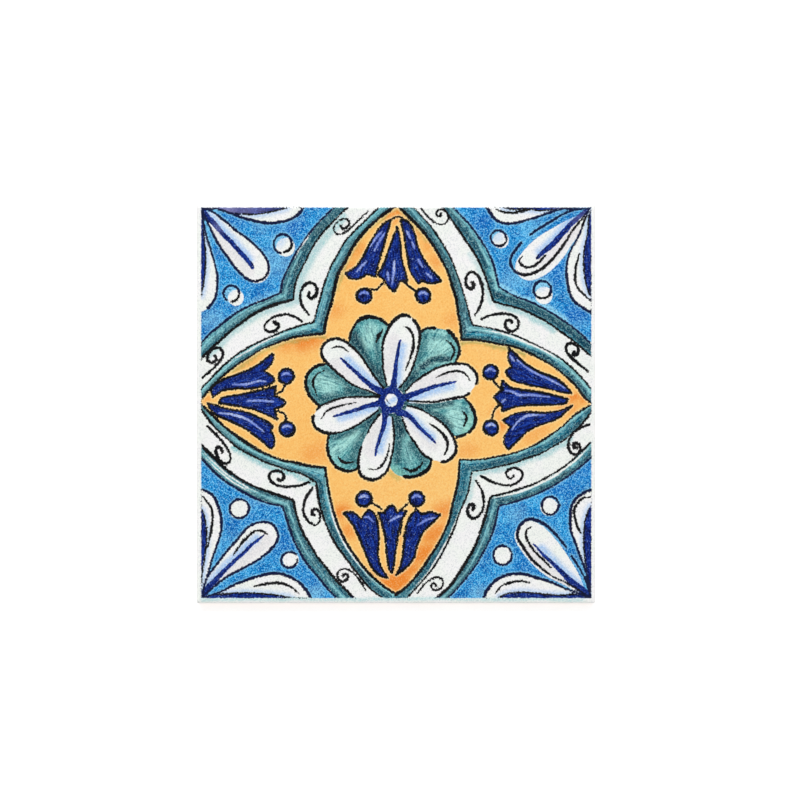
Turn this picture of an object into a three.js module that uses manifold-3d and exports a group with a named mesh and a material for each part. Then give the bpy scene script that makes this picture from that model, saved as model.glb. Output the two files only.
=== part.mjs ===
// A square glazed wall tile, lying face up. It is one piece of fired clay: a flat face with rounded, cushioned
// edges, upright sides and a back with shallow key grooves that hold the adhesive.
// Millimetres, +Z up. The origin is the middle of the back, level with the lands that the tile rests on.
import * as THREE from "three";
import { mergeVertices } from "three/addons/utils/BufferGeometryUtils.js";
import Module from "manifold-3d";

// The tile's outside
const side = 200; // each side of the square
const thickness = 8; // from the back's lands to the glazed face
const cornerRadius = 1; // the four upright corners, seen from above

// The cushioned edge of the face: a quarter of an ellipse
const edgeRun = 2; // how far in from the side the face begins to fall
const edgeDrop = 1.4; // how far it falls
const faceCornerRadius = 2; // corner of the flat part of the face
const edgeSteps = 6;

// The edge of the back
const backChamfer = 0.6;

// The key grooves, which run along X and stop short of the sides
const keyMargin = 10; // plain land between the grooves and the sides
const keyWidth = 7.5; // across a groove's mouth
const keyDepth = 0.8;
const keyDraft = 0.5; // how far a groove's wall leans in from mouth to floor
const keyRib = 5.75; // land left between two grooves

const cornerSteps = 6; // facets in a quarter turn of a corner
const keyEndSteps = 8; // facets in the half turn at a groove's end
const overshoot = 1; // how far a cutter reaches past the surface it cuts

const glaze = new THREE.MeshStandardMaterial({ color: 0xf1f1ec, roughness: 0.16, metalness: 0 });

const wasm = await Module();
wasm.setup();

function solidOf(geometry) {
  const bare = geometry.clone();
  bare.deleteAttribute("normal");
  bare.deleteAttribute("uv");
  const merged = mergeVertices(bare);
  const vertProperties = merged.attributes.position.array;
  const triVerts = new Uint32Array(merged.index.array);
  return new wasm.Manifold(new wasm.Mesh({ numProp: 3, vertProperties, triVerts }));
}

function geometryOf(solid) {
  const { vertProperties, triVerts } = solid.getMesh();
  const geometry = new THREE.BufferGeometry();
  geometry.setAttribute("position", new THREE.BufferAttribute(vertProperties, 3));
  geometry.setIndex(new THREE.BufferAttribute(triVerts, 1));
  geometry.computeVertexNormals();
  return geometry;
}

// A level square with round corners, counter-clockwise from the +X side's lower end.
function squareRing(z, inset, radius) {
  const reach = side / 2 - inset - radius;
  const ring = [];
  for (let corner = 0; corner < 4; corner++) {
    const start = (corner * Math.PI) / 2;
    const centreX = reach * Math.sign(Math.cos(start + Math.PI / 4));
    const centreY = reach * Math.sign(Math.sin(start + Math.PI / 4));
    for (let step = 0; step <= cornerSteps; step++) {
      const angle = start + (step / cornerSteps) * (Math.PI / 2);
      ring.push(new THREE.Vector3(centreX + radius * Math.cos(angle), centreY + radius * Math.sin(angle), z));
    }
  }
  return ring;
}

// The closed skin over a stack of rings with equally many points, from the lowest ring to the highest.
function loft(rings) {
  const count = rings[0].length;
  const faces = [];
  for (let level = 0; level + 1 < rings.length; level++) {
    for (let i = 0; i < count; i++) {
      const a = level * count + i;
      const b = level * count + ((i + 1) % count);
      faces.push(a, b, b + count, a, b + count, a + count);
    }
  }
  const cap = THREE.ShapeUtils.triangulateShape(rings[0].map((p) => new THREE.Vector2(p.x, p.y)), []);
  const top = (rings.length - 1) * count;
  for (const [a, b, c] of cap) {
    faces.push(a, c, b, top + a, top + b, top + c);
  }
  const geometry = new THREE.BufferGeometry().setFromPoints(rings.flat());
  geometry.setIndex(faces);
  return geometry;
}

function tileBody() {
  const rings = [squareRing(0, backChamfer, cornerRadius), squareRing(backChamfer, 0, cornerRadius)];
  for (let step = 0; step <= edgeSteps; step++) {
    const angle = (step / edgeSteps) * (Math.PI / 2);
    const inset = edgeRun * (1 - Math.cos(angle));
    const share = inset / edgeRun;
    const radius = THREE.MathUtils.lerp(cornerRadius, faceCornerRadius, share);
    rings.push(squareRing(thickness - edgeDrop * (1 - Math.sin(angle)), inset, radius));
  }
  return solidOf(loft(rings));
}

// One groove's cutter: a bar with round ends along X, whose bevel is the groove's leaning wall.
function keyCutter(centreY) {
  const floorRadius = keyWidth / 2 - keyDraft;
  const reach = side / 2 - keyMargin - keyWidth / 2;
  const floor = new THREE.Shape();
  floor.absarc(reach, 0, floorRadius, -Math.PI / 2, Math.PI / 2, false);
  floor.absarc(-reach, 0, floorRadius, Math.PI / 2, (3 * Math.PI) / 2, false);
  const cutter = new THREE.ExtrudeGeometry(floor, {
    depth: overshoot,
    curveSegments: keyEndSteps,
    bevelThickness: keyDepth,
    bevelSize: keyDraft,
    bevelSegments: 1,
  });
  cutter.translate(0, centreY, -overshoot);
  return solidOf(cutter);
}

// The grooves' middles: as many as fit between the margins, centred on the back.
function keyCentres() {
  const pitch = keyWidth + keyRib;
  const room = side - 2 * keyMargin - keyWidth;
  const gaps = Math.floor(room / pitch);
  const centres = [];
  for (let i = 0; i <= gaps; i++) {
    centres.push((i - gaps / 2) * pitch);
  }
  return centres;
}

let body = tileBody();
for (const centreY of keyCentres()) {
  body = body.subtract(keyCutter(centreY));
}

const tile = new THREE.Mesh(geometryOf(body), glaze);
tile.name = "tile";

const part = new THREE.Group();
part.add(tile);

export default part;
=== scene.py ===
import math

import bpy
import numpy as np
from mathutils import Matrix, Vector
from mathutils.geometry import delaunay_2d_cdt


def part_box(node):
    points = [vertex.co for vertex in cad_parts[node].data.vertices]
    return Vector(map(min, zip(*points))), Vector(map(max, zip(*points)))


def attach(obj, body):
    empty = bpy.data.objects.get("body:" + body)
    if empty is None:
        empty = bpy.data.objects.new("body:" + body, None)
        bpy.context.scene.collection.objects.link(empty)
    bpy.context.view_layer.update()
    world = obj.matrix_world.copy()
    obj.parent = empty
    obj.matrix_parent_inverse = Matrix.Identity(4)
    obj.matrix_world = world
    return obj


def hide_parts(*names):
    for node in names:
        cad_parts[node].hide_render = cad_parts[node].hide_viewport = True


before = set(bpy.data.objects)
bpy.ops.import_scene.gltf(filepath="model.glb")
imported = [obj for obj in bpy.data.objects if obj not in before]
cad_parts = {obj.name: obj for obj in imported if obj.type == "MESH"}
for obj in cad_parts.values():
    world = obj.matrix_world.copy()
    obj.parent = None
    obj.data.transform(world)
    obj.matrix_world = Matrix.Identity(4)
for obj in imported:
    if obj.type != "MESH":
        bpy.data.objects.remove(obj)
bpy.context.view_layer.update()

# A square majolica tile: a painted, glazed face with cushioned edges, glaze that runs a little way down
# the sides, and bare fired clay below it and on the back. Lengths are in millimetres.

MM = 0.001
low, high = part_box("tile")
SIDE = (high[0] - low[0]) / MM
THICKNESS = (high[2] - low[2]) / MM
CORNER_RADIUS = 1.0

# The cushioned edge of the face: a quarter of an ellipse
EDGE_RUN = 2.0
EDGE_DROP = 1.4
FACE_CORNER_RADIUS = 2.0
EDGE_STEPS = 7

# The edge of the back, and its key grooves, which run along X
BACK_CHAMFER = 0.6
KEY_MARGIN, KEY_WIDTH, KEY_DEPTH, KEY_DRAFT, KEY_RIB = 10.0, 7.5, 0.8, 0.5, 5.75

# The drawing. Its points are places on the face, X to the right and Y up from the middle. Points are
# joined by a smooth curve, and a point that stands twice in a row is a sharp corner.

# Where the painting stops, short of the tile's edge
PRINT_LEFT, PRINT_RIGHT = -97.8, 98.0
PRINT_BOTTOM, PRINT_TOP = -97.3, 98.8

# Four closed outlines around the star, each in four strokes: upper left, upper right, lower right, lower
# left. They run clockwise, past the ends of the painting.
STAR_EDGE = [
    [(-99, 1.2), (-96, 4.5), (-87, 14), (-76, 22.3), (-64, 29), (-51, 33.4), (-36, 35.4), (-36, 35.4),
     (-34.9, 43), (-32.6, 51), (-29, 64.5), (-23.7, 75.5), (-17.5, 85), (-9, 93), (-1, 99.5)],
    [(1, 99.5), (7, 93.6), (15, 84.6), (22, 74.3), (27.2, 63), (30.6, 50), (32.3, 40), (32.8, 32.2),
     (32.8, 32.2), (41, 32.2), (51, 30.4), (60, 28.5), (70, 24.2), (80, 18.2), (89, 10.6), (95, 3.6),
     (98.5, 0)],
    [(98.5, 0), (91, -4.4), (84, -10.9), (74, -17.6), (63, -23.2), (50, -26.7), (41, -27.8), (32, -27.9),
     (32, -27.9), (31.2, -39), (28.6, -50), (26, -59.3), (21, -70.3), (14, -81.5), (7, -90.2), (0, -95.6)],
    [(0, -95.6), (-8, -90), (-17, -81.2), (-24.5, -70.3), (-29.8, -59), (-32.8, -48), (-35.4, -32),
     (-35.4, -32), (-50, -29.6), (-63, -26), (-74, -20.1), (-84, -13.1), (-92, -5.9), (-99, 1.2)],
]
TEAL_EDGE = [
    [(-99, 6.5), (-93, 13), (-83, 22.6), (-72, 29.6), (-60, 35.5), (-50, 38.9), (-41.2, 41.3), (-41.2, 41.3),
     (-38.9, 50), (-36, 61), (-32, 70.3), (-26.6, 80), (-19.5, 88.3), (-12, 95.5), (-7, 100)],
    [(7.5, 100), (12.5, 95), (20, 86), (26.3, 75), (31.6, 63), (35.2, 51), (37.3, 43), (38.7, 39.4),
     (38.7, 39.4), (50, 37.4), (60, 34.2), (72, 28.8), (83, 22.7), (91, 15.5), (98.5, 7)],
    [(98.5, -3.5), (93.5, -9.8), (86, -16.5), (76, -23), (64, -27.9), (52, -31.1), (38, -33.8), (38, -33.8),
     (36, -44), (32.5, -53.5), (28, -65.2), (22, -76.6), (15, -87), (5, -97.5)],
    [(-6, -97.5), (-14, -91.6), (-21, -82.7), (-29.3, -71.8), (-35, -60.3), (-38.4, -50), (-40.2, -39.2),
     (-40.2, -39.2), (-48, -34.9), (-60, -31.3), (-72, -26), (-82, -19.9), (-92, -10.4), (-99, -1)],
]
WHITE_EDGE = [
    [(-99, 21.5), (-90, 30.5), (-80, 39.2), (-70, 45.8), (-60, 50.2), (-51.7, 52.6), (-51.7, 52.6),
     (-50.2, 61), (-46.2, 70.5), (-40.5, 81), (-32.4, 91), (-24, 99)],
    [(23, 99.5), (27.5, 93.3), (34.5, 83.5), (41, 72.8), (45.4, 62), (49, 51.2), (49, 51.2),
     (60, 48.6), (70, 44.4), (80, 38.4), (90, 30.9), (98.5, 23.5)],
    [(98.5, -18.5), (90, -26.6), (80, -34.4), (70, -39.6), (60, -43.2), (47.3, -46.4), (47.3, -46.4),
     (44.6, -57), (40.8, -68.4), (35, -80), (27.6, -90.4), (20, -97.5)],
    [(-21, -97.5), (-29, -89.4), (-38.2, -78), (-46, -66), (-49.8, -55.5), (-51.8, -48.2), (-51.8, -48.2),
     (-62, -44.7), (-74, -39.9), (-84, -33.6), (-94, -24), (-99, -18.5)],
]
SKY_EDGE = [
    [(-99, 28.3), (-95.5, 33.5), (-88, 40), (-78, 47), (-68, 52), (-58, 55.6), (-58, 55.6),
     (-55.8, 64), (-50.5, 75.5), (-42.4, 87), (-33, 96.8), (-30, 99.5)],
    [(27.5, 99.5), (35.8, 91.3), (43, 81.7), (48.4, 71.5), (51.6, 58.7), (51.6, 58.7),
     (60, 54), (70, 50.3), (80, 44.5), (90, 37.5), (98.5, 30)],
    [(98.5, -26), (90, -33.5), (80, -40.4), (70, -45.3), (60, -48.9), (51.8, -50.9), (51.8, -50.9),
     (49.6, -60), (45.7, -70.7), (39.2, -82), (31.4, -91.8), (26, -97.5)],
    [(-29.5, -97.5), (-38, -88), (-46, -77.8), (-52, -66), (-55.4, -56), (-57, -51.4), (-57, -51.4),
     (-67, -48.5), (-79, -42.7), (-89, -36), (-99, -25.8)],
]

# Ink widths: the usual one and a fine one, and along each outline the ones before and after a quarter's
# corner
PLAIN, FINE = 1.4, 1.05
EDGE_INKS = [
    (STAR_EDGE, [(1.3, 1.8), (1.6, 1.3), (1.1, 1.4), (1.4, 1.5)]),
    (TEAL_EDGE, [(1.1, 1.0), (1.0, 0.9), (1.0, 1.1), (1.2, 1.2)]),
    (WHITE_EDGE, [(1.5, 1.1), (1.3, 1.2), (1.1, 1.8), (1.4, 1.5)]),
    (SKY_EDGE, [(1.2, 1.0), (1.1, 1.1), (1.1, 1.1), (1.2, 1.2)]),
]

# The rosette's heart: a navy disc with a white dot in it
HEART = (-2.4, 2.0)
HEART_RADIUS, HEART_DOT_RADIUS = 6.6, 3.2

# The rosette's white petals: outline from the heart around the tip and back, a line inside the tip, a
# blue vein, the side of it that the soft wash lies on, how far the white has slipped off its outline, and
# the gaps in the outline, as shares of its length.
WHITE_PETALS = [
    dict(edge=[(-4.6, 9.5), (-6.4, 19), (-6.7, 28), (-5.2, 35.5), (-1.2, 41.6), (4.4, 45), (9.4, 42),
               (12, 36), (11.4, 28.5), (9, 20), (5.6, 13.3), (1.6, 8.2)],
         inner=[(3.8, 38.9), (6.3, 38), (8.5, 34.6), (8.8, 30), (7.6, 24.8), (6, 20.3), (4.6, 17)],
         inner_ink=1.4,
         vein=[(-1.4, 8), (-0.5, 15), (0.3, 22), (1.3, 27.5), (2.3, 32)], wash=(1.9, -0.6),
         gaps=[(0.52, 0.55)]),
    dict(edge=[(4.6, 6.4), (9, 10.8), (15, 15), (22, 18.9), (29, 20.3), (35, 19.8), (39.3, 16.4),
               (40.7, 11.8), (38, 7), (34.5, 4), (28, 3), (18, 1.3), (6, 1.6)],
         inner=[(19.8, 13.2), (24, 15.4), (30.5, 17), (34.6, 15.7), (36.9, 12)],
         vein=[(4, 3), (12, 6.2), (20, 8.8), (29.8, 11.2)], wash=(0.6, -1.9), slip=(0.3, -0.9),
         gaps=[(0.56, 0.62)]),
    dict(edge=[(5.5, -1), (11, -2.2), (17, -5), (23, -9), (27.6, -14.2), (30, -20.5), (29.2, -25.2),
               (25.3, -28.4), (20.5, -28.5), (15, -25.8), (10, -20.4), (5.8, -14.2), (2.8, -6.6)],
         inner=[(17, -10), (22, -13.3), (25.6, -17.6), (26.3, -21.6), (24.3, -25.6)], inner_ink=1.5,
         vein=[(1.5, -3.8), (7, -6.6), (13, -13), (19.8, -19.3)], wash=(0.7, 0.7), gaps=[(0.59, 0.66)]),
    dict(edge=[(-8, -4.5), (-12.6, -11.4), (-16.3, -18.6), (-18.6, -25.5), (-18.8, -31), (-17, -35.6),
               (-12, -38), (-7.5, -36.5), (-3.8, -32), (-1.7, -25), (-0.9, -16), (-1.6, -6.6)],
         inner=[(-3.3, -20), (-4.1, -25), (-6.6, -30.6), (-9.7, -32.9), (-13.8, -32.3)],
         vein=[(-5, -3.5), (-6.3, -11), (-8.8, -18.5), (-10.2, -25.6)], wash=(1.8, -0.6),
         gaps=[(0.16, 0.25)]),
    dict(edge=[(-8.3, 3.3), (-16, 3.8), (-24, 3.7), (-31.5, 1.6), (-38.3, -1.5), (-41.5, -6.6),
               (-40.4, -11.2), (-35.5, -14.2), (-28.5, -14.2), (-20, -10.8), (-14, -7), (-9, -3)],
         inner=[(-20, 1), (-27, -0.5), (-34, -3), (-37.7, -7.2)],
         vein=[(-6.5, 0.8), (-15, -1.2), (-24, -4), (-31.3, -6.2)], wash=(0.6, -1.9), gaps=[(0.43, 0.47)]),
    dict(edge=[(-6.6, 8), (-12, 15.5), (-17.5, 23.8), (-23.6, 30.4), (-30, 33), (-35.8, 30.6), (-37.3, 25.4),
               (-34, 19.8), (-27.5, 14), (-20, 9), (-12.5, 6), (-8, 4.2)],
         inner=[(-32.5, 28), (-29.5, 29), (-26.5, 28.4), (-24, 26.7)],
         vein=[(-8, 6.2), (-14, 10.4), (-21, 17), (-27.8, 23.3)], wash=(1.3, 1.4), gaps=[]),
]

# The teal petals between them: the visible edge, the line inside it and the gaps
TEAL_PETALS = [
    dict(edge=[(-23.6, 30.8), (-22.4, 36.6), (-19.2, 41.3), (-15.5, 43.5), (-12, 43.9), (-8, 42.7),
               (-4.2, 39.6)],
         inner=[(-6.8, 37.6), (-8.6, 34.5), (-9.9, 31)], inner_ink=1.7, gaps=[]),
    dict(edge=[(12.6, 36.3), (15.5, 38.2), (20.5, 38.0), (26, 36.7), (30.2, 32), (31.6, 27), (29.6, 20.8)],
         inner=[(24.5, 32), (27.6, 29.8), (28.9, 26.2), (27.3, 21.8)], inner_ink=1.2, gaps=[(0.24, 0.42)]),
    dict(edge=[(34.2, 4), (37.2, -0.4), (39.4, -5), (39.8, -9), (38.2, -12.4), (35.6, -14.8), (30.4, -16.4)],
         inner=[(33.5, -3), (35.7, -6.6), (34.5, -11.5)], inner_ink=1.4, gaps=[(0.76, 0.84)]),
    dict(edge=[(17.8, -27.8), (16.4, -32.2), (12, -35.6), (6, -36.7), (0.5, -35.4), (-3, -32)],
         inner=[(3.8, -31.8), (7, -33.5), (10.5, -32.6), (13.5, -29.4)], inner_ink=1.4, gaps=[(0.7, 1.0)]),
    dict(edge=[(-33.4, -14.4), (-34.4, -21), (-33.4, -27), (-29.5, -31.8), (-24, -33.5), (-18.8, -32)],
         inner=[(-29, -26.5), (-26.2, -29), (-21.4, -28.8)], inner_ink=1.5, gaps=[]),
    dict(edge=[(-34.8, 20.4), (-40, 19), (-44, 15.3), (-45.2, 10), (-43.4, 4.4), (-38.6, -0.6)],
         inner=[(-36, 17.2), (-39.7, 15), (-41.7, 10.6), (-39.5, 4)], gaps=[]),
]

# The scrolls in the white band, from each tail's end to the eye, and the numbers of the ones with a thin
# line
SCROLLS = [
    [(-97, 13.3), (-92, 17.8), (-88.2, 21.8), (-86.8, 25), (-88.4, 27.8), (-91.6, 27.6), (-94.2, 25),
     (-94.4, 22), (-92.4, 20.7), (-90.2, 22.3), (-90.8, 24.4)],
    [(-47.4, 41.8), (-50, 43.6), (-55.5, 45), (-61, 44), (-65, 41.2), (-65.8, 38), (-63, 36.4),
     (-59.8, 37.3), (-58.7, 39.6), (-60.8, 41)],
    [(-44, 44.6), (-47.4, 50), (-48.2, 55), (-46.4, 59.4), (-43, 61), (-40, 59), (-39.7, 55.4), (-42, 53),
     (-44, 53.9), (-43.7, 56)],
    [(-14, 97), (-18, 93), (-22, 89), (-26, 85.8), (-29.6, 85.3), (-31.2, 88), (-29.6, 91.3), (-26.6, 93.1),
     (-24, 92.3), (-24, 89.8), (-26.8, 88), (-28, 89.6)],
    [(12.2, 98.8), (15.5, 94.6), (19.5, 91), (23.6, 90), (26.2, 92.2), (25.8, 95.6), (23, 97.9), (20.3, 97),
     (20.4, 94.8), (22.2, 94.4), (22.5, 95.8)],
    [(39.6, 45), (42.4, 50), (43.4, 56), (42, 63), (39, 66), (36, 65), (34.9, 61.6), (36, 58.7),
     (38.4, 57.8), (39.2, 60), (38.2, 61)],
    [(42.4, 42.4), (47, 44.6), (54, 45.4), (59.4, 44), (61.7, 41), (60.6, 37.8), (57.4, 37), (54.9, 39),
     (55.3, 41.6), (57.8, 42.2), (58, 40.9)],
    [(96.6, 16.3), (91, 20.3), (87, 24.4), (85.2, 27.6), (86, 30), (88.8, 30.5), (91.2, 28.6), (91, 25.2),
     (89, 24.6), (89.2, 26.4)],
    [(-94.8, -11.4), (-90, -15.6), (-86, -20.4), (-83, -25.6), (-83.2, -29), (-86, -29.8), (-89, -27.4),
     (-90.2, -23.6), (-89.3, -21.2), (-87.5, -22.2), (-87.1, -24)],
    [(-43.8, -38.8), (-48, -40.6), (-54, -41.4), (-60, -40.4), (-63.4, -37.3), (-63, -34.4), (-60, -33.4),
     (-57, -34.2), (-56, -36.4), (-57.4, -38), (-59, -37.6)],
    [(-42, -42.2), (-45.4, -47), (-46.5, -53), (-44.6, -58), (-41, -60.8), (-38.5, -58.8), (-38.2, -55),
     (-39.8, -52.5), (-42, -53), (-42.2, -54.8), (-41, -55.3)],
    [(-15, -93.3), (-18.4, -88.4), (-22, -84), (-26, -82.5), (-29, -84.4), (-29.2, -87.4), (-27, -89),
     (-24.8, -87.6), (-24.7, -85.4), (-26.5, -85.1), (-26.7, -86.2)],
    [(97, -10.5), (93, -11.9), (89, -14.4), (86.9, -18), (86.8, -22.6), (89, -25.4), (91.7, -24.6),
     (92.6, -21.6), (91, -19.6), (89, -20.2), (89.2, -22), (90.6, -21.8)],
    [(42.8, -36), (47.5, -38.6), (54, -40.8), (59.6, -40.2), (63.1, -37), (63, -33.6), (59.6, -31.9),
     (56, -33.3), (55.3, -35.8), (57.4, -37.4), (58.8, -36)],
    [(40.2, -38.6), (43, -44), (43.9, -50), (42.4, -55), (39.4, -57.6), (36.6, -56), (35.7, -52.6),
     (37.4, -50.3), (39.4, -51), (38.6, -53.2)],
    [(10.8, -94.4), (15, -89.8), (19.6, -87), (23, -87.8), (23.6, -90.6), (21.4, -93.2), (18.6, -92.8),
     (17.8, -90.8), (19.4, -89.9), (20.5, -91.2)],
]
THIN_SCROLLS = (3, 4, 11, 15)

# The four lilies: their navy petals' outlines, the light strokes on them, the balls, and the fine lines
LILIES = [
    dict(petals=[
            [(-2.4, 92.6), (-6.6, 90.2), (-10.8, 84.6), (-14.2, 78.6), (-17, 73.2), (-20.4, 68.8),
             (-25.4, 65.6), (-25.4, 65.6), (-23, 63.2), (-19, 62.8), (-14.6, 65.2), (-14.6, 65.2),
             (-10.2, 63.8), (-10.2, 63.8), (-9.2, 69), (-6.7, 77.6), (-4.4, 86)],
            [(0.5, 88.8), (-1.2, 84.4), (-3.4, 78.2), (-5.5, 71.8), (-9, 64.7), (-9, 64.7), (-6, 62.6),
             (-3.6, 58.8), (-0.8, 56.4), (-0.8, 56.4), (0.6, 58.6), (2, 61.6), (2, 61.6), (6, 62), (6, 62),
             (4.6, 67), (2.9, 73), (2.2, 80), (1.4, 85.6)],
            [(2.2, 92.4), (3.9, 86.8), (4.9, 80), (5.7, 74), (7, 67), (9.2, 63.2), (11.4, 60.9),
             (13, 62.3), (13, 62.3), (17.4, 60.8), (22.8, 61.9), (22.8, 61.9), (18, 67.2), (13.6, 73.4),
             (11, 79), (9.6, 84.5), (7.4, 89.6), (4.8, 92.4)]],
         glints=[[(-7, 86.8), (-10, 83.6), (-13.2, 79)], [(-14.6, 71.6), (-17.6, 69), (-19.6, 66.6)],
                 [(-5.6, 86), (-8.4, 81.6), (-10.8, 77)], [(-0.8, 72), (-1.2, 66), (-1.9, 60)],
                 [(-4.4, 66.6), (-3.6, 62)], [(5.4, 86.8), (7.4, 83)],
                 [(8, 81.4), (9.4, 78.2)], [(10.9, 73), (13.4, 68.8)], [(15, 66), (18, 63.2)]],
         balls=[((-16, 54.6), 3.2), ((13.6, 54.5), 3.2)],
         lines=[[(-12.4, 57.4), (-9.6, 57.6), (-6.6, 61)], [(10, 56.6), (6.6, 58.8), (4.2, 60.8)],
                [(-3, 92.2), (-0.6, 93.6), (1.6, 94.2), (3.6, 93.4), (5.2, 92)]]),
    dict(petals=[
            [(56.6, 28.2), (60.6, 24.6), (66, 19.6), (73, 15.8), (80, 13), (85, 9.4), (88.4, 5.4),
             (88.4, 5.4), (82, 6.3), (75, 8.2), (67, 9.6), (59, 11.9), (55.2, 16.2), (58.2, 18.8),
             (58.2, 18.8), (56.6, 22.4)],
            [(53.4, 12), (57.4, 8.6), (64, 7.1), (72, 6.1), (80, 4.3), (86.4, 2.4), (86.4, 2.4),
             (84, 0.2), (76, -0.4), (67, -0.4), (59.6, -1.4), (53.2, -3.8), (53.2, -3.8), (53, -1),
             (51.4, 0.9), (48.9, 3.8), (48.9, 3.8), (52, 6.4), (53.9, 7.2), (53.9, 7.2), (53, 9.4)],
            [(88.4, -0.8), (82, -3.4), (74, -4.2), (66, -3.8), (59, -5), (53.5, -8), (53.5, -8),
             (57.6, -11.4), (57.6, -11.4), (54.6, -16), (54.4, -20), (56.4, -22.8), (56.4, -22.8),
             (60.4, -18.8), (66, -13.6), (73, -10.2), (81, -7.2)]],
         glints=[[(60.8, 22.2), (65.2, 18.5), (70.5, 15.5), (76, 12.9), (80.5, 10.6), (85, 8)],
                 [(57.4, 24.4), (59.2, 21.6)], [(54, 6.9), (58, 6.4), (62, 4.6), (68, 4.6), (77, 3.6)],
                 [(52.6, 0.6), (55, 2.4)],
                 [(75, -5.4), (68, -5.4), (64, -6.6), (60.6, -9.4), (58.4, -12.6)]],
         balls=[((47.4, 16), 3.2), ((47.7, -11.7), 3.3)],
         lines=[[(48.6, 12.2), (50.8, 9.6), (53.6, 7)], [(48.3, -7.6), (49.2, -3.6), (52.2, -0.2)]]),
    dict(petals=[
            [(9.9, -52.8), (13, -55.4), (13, -55.4), (17.6, -54.1), (22.2, -55.5), (22.2, -55.5),
             (18, -59.8), (13.6, -64.4), (10.6, -70.4), (8.8, -77), (5, -82.2), (0.2, -85.8), (0.2, -85.8),
             (2.6, -80), (3.8, -72), (4.6, -64), (6.6, -57.4)],
            [(-2, -50.6), (-4.4, -52), (-5.6, -54.4), (-5.6, -54.4), (-8.8, -54.4), (-8.8, -54.4),
             (-7, -60), (-5.4, -67), (-4.5, -75), (-3.5, -82), (-2.2, -84.4), (-1, -79), (0.2, -71),
             (1.2, -63.6), (3, -58.4), (5.4, -54), (5.4, -54), (2.6, -53.4), (0.2, -54.6), (0.2, -54.6),
             (-0.6, -52)],
            [(-26.2, -54.6), (-22, -54.2), (-17.4, -57.9), (-17.4, -57.9), (-15.6, -54.6),
             (-13, -53), (-10.4, -56), (-9, -61), (-8.6, -68), (-9.2, -75.6), (-7.6, -81.6), (-4.2, -87.4),
             (-4.2, -87.4), (-8.6, -85.8), (-13, -80.4), (-16, -73), (-18.6, -66.4), (-21.6, -60.4)]],
         glints=[[(19.6, -57), (15.4, -58), (10.8, -60.8)], [(3, -56), (0, -56.8), (-3.4, -59)],
                 [(-16, -56.8), (-13.8, -56.6), (-11.6, -59)]],
         balls=[((10.4, -47.5), 3.3), ((-16, -47.6), 3.3)],
         lines=[[(6.4, -49.6), (3.8, -51.8), (1, -54)], [(10.3, -51.2), (10.2, -53)],
                [(-11.8, -49.2), (-9.4, -50.8), (-7, -52.6)], [(5.4, -53.6), (3, -58.6), (2, -65.6)]]),
    dict(petals=[
            [(-92, 3.6), (-92.6, 8), (-86, 12.6), (-78, 15.6), (-70, 19.4), (-64, 24.2), (-61.9, 25.6),
             (-61.4, 23.6), (-62.6, 20.2), (-66, 16.6), (-66, 16.6), (-62.2, 14), (-61.4, 11.5), (-65, 9.4),
             (-72, 8), (-80, 7.8), (-87, 6.9)],
            [(-88.6, 0.4), (-87, 3.2), (-79, 4.7), (-71, 6.3), (-64, 7.9), (-60.4, 8.9), (-60.4, 8.9),
             (-61.2, 4.4), (-61.2, 4.4), (-57.4, 2.6), (-55.7, 0.7), (-57.4, -0.9), (-61, -2.4), (-61, -2.4),
             (-59.8, -7.8), (-59.8, -7.8), (-65, -5.3), (-72, -2.4), (-80, -0.9)],
            [(-94.4, 0.4), (-90.4, -0.5), (-83.4, -2.6), (-76, -3.9), (-69, -6.6), (-61.8, -10.6),
             (-63, -13), (-63, -13), (-61.2, -16.6), (-61.1, -19.8), (-62.2, -22.3), (-64.2, -21.6),
             (-67, -18.6), (-75, -12.6), (-83.4, -8.4), (-90.4, -5.2), (-93.6, -1.8)]],
         glints=[[(-82, 9.8), (-75, 10), (-69, 11.6), (-65.4, 11.4)], [(-75, 1.6), (-68, 1.8), (-61.4, 1.2)],
                 [(-89, -4.4), (-82, -5.2), (-74, -8), (-66.4, -13.8)]],
         balls=[((-55, 13.9), 3.3), ((-54.7, -12.4), 3.2)],
         lines=[[(-55.2, 10), (-56.8, 7), (-60, 5.4)], [(-54.8, -8.6), (-56, -5), (-59.4, -3.2)]]),
]

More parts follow.
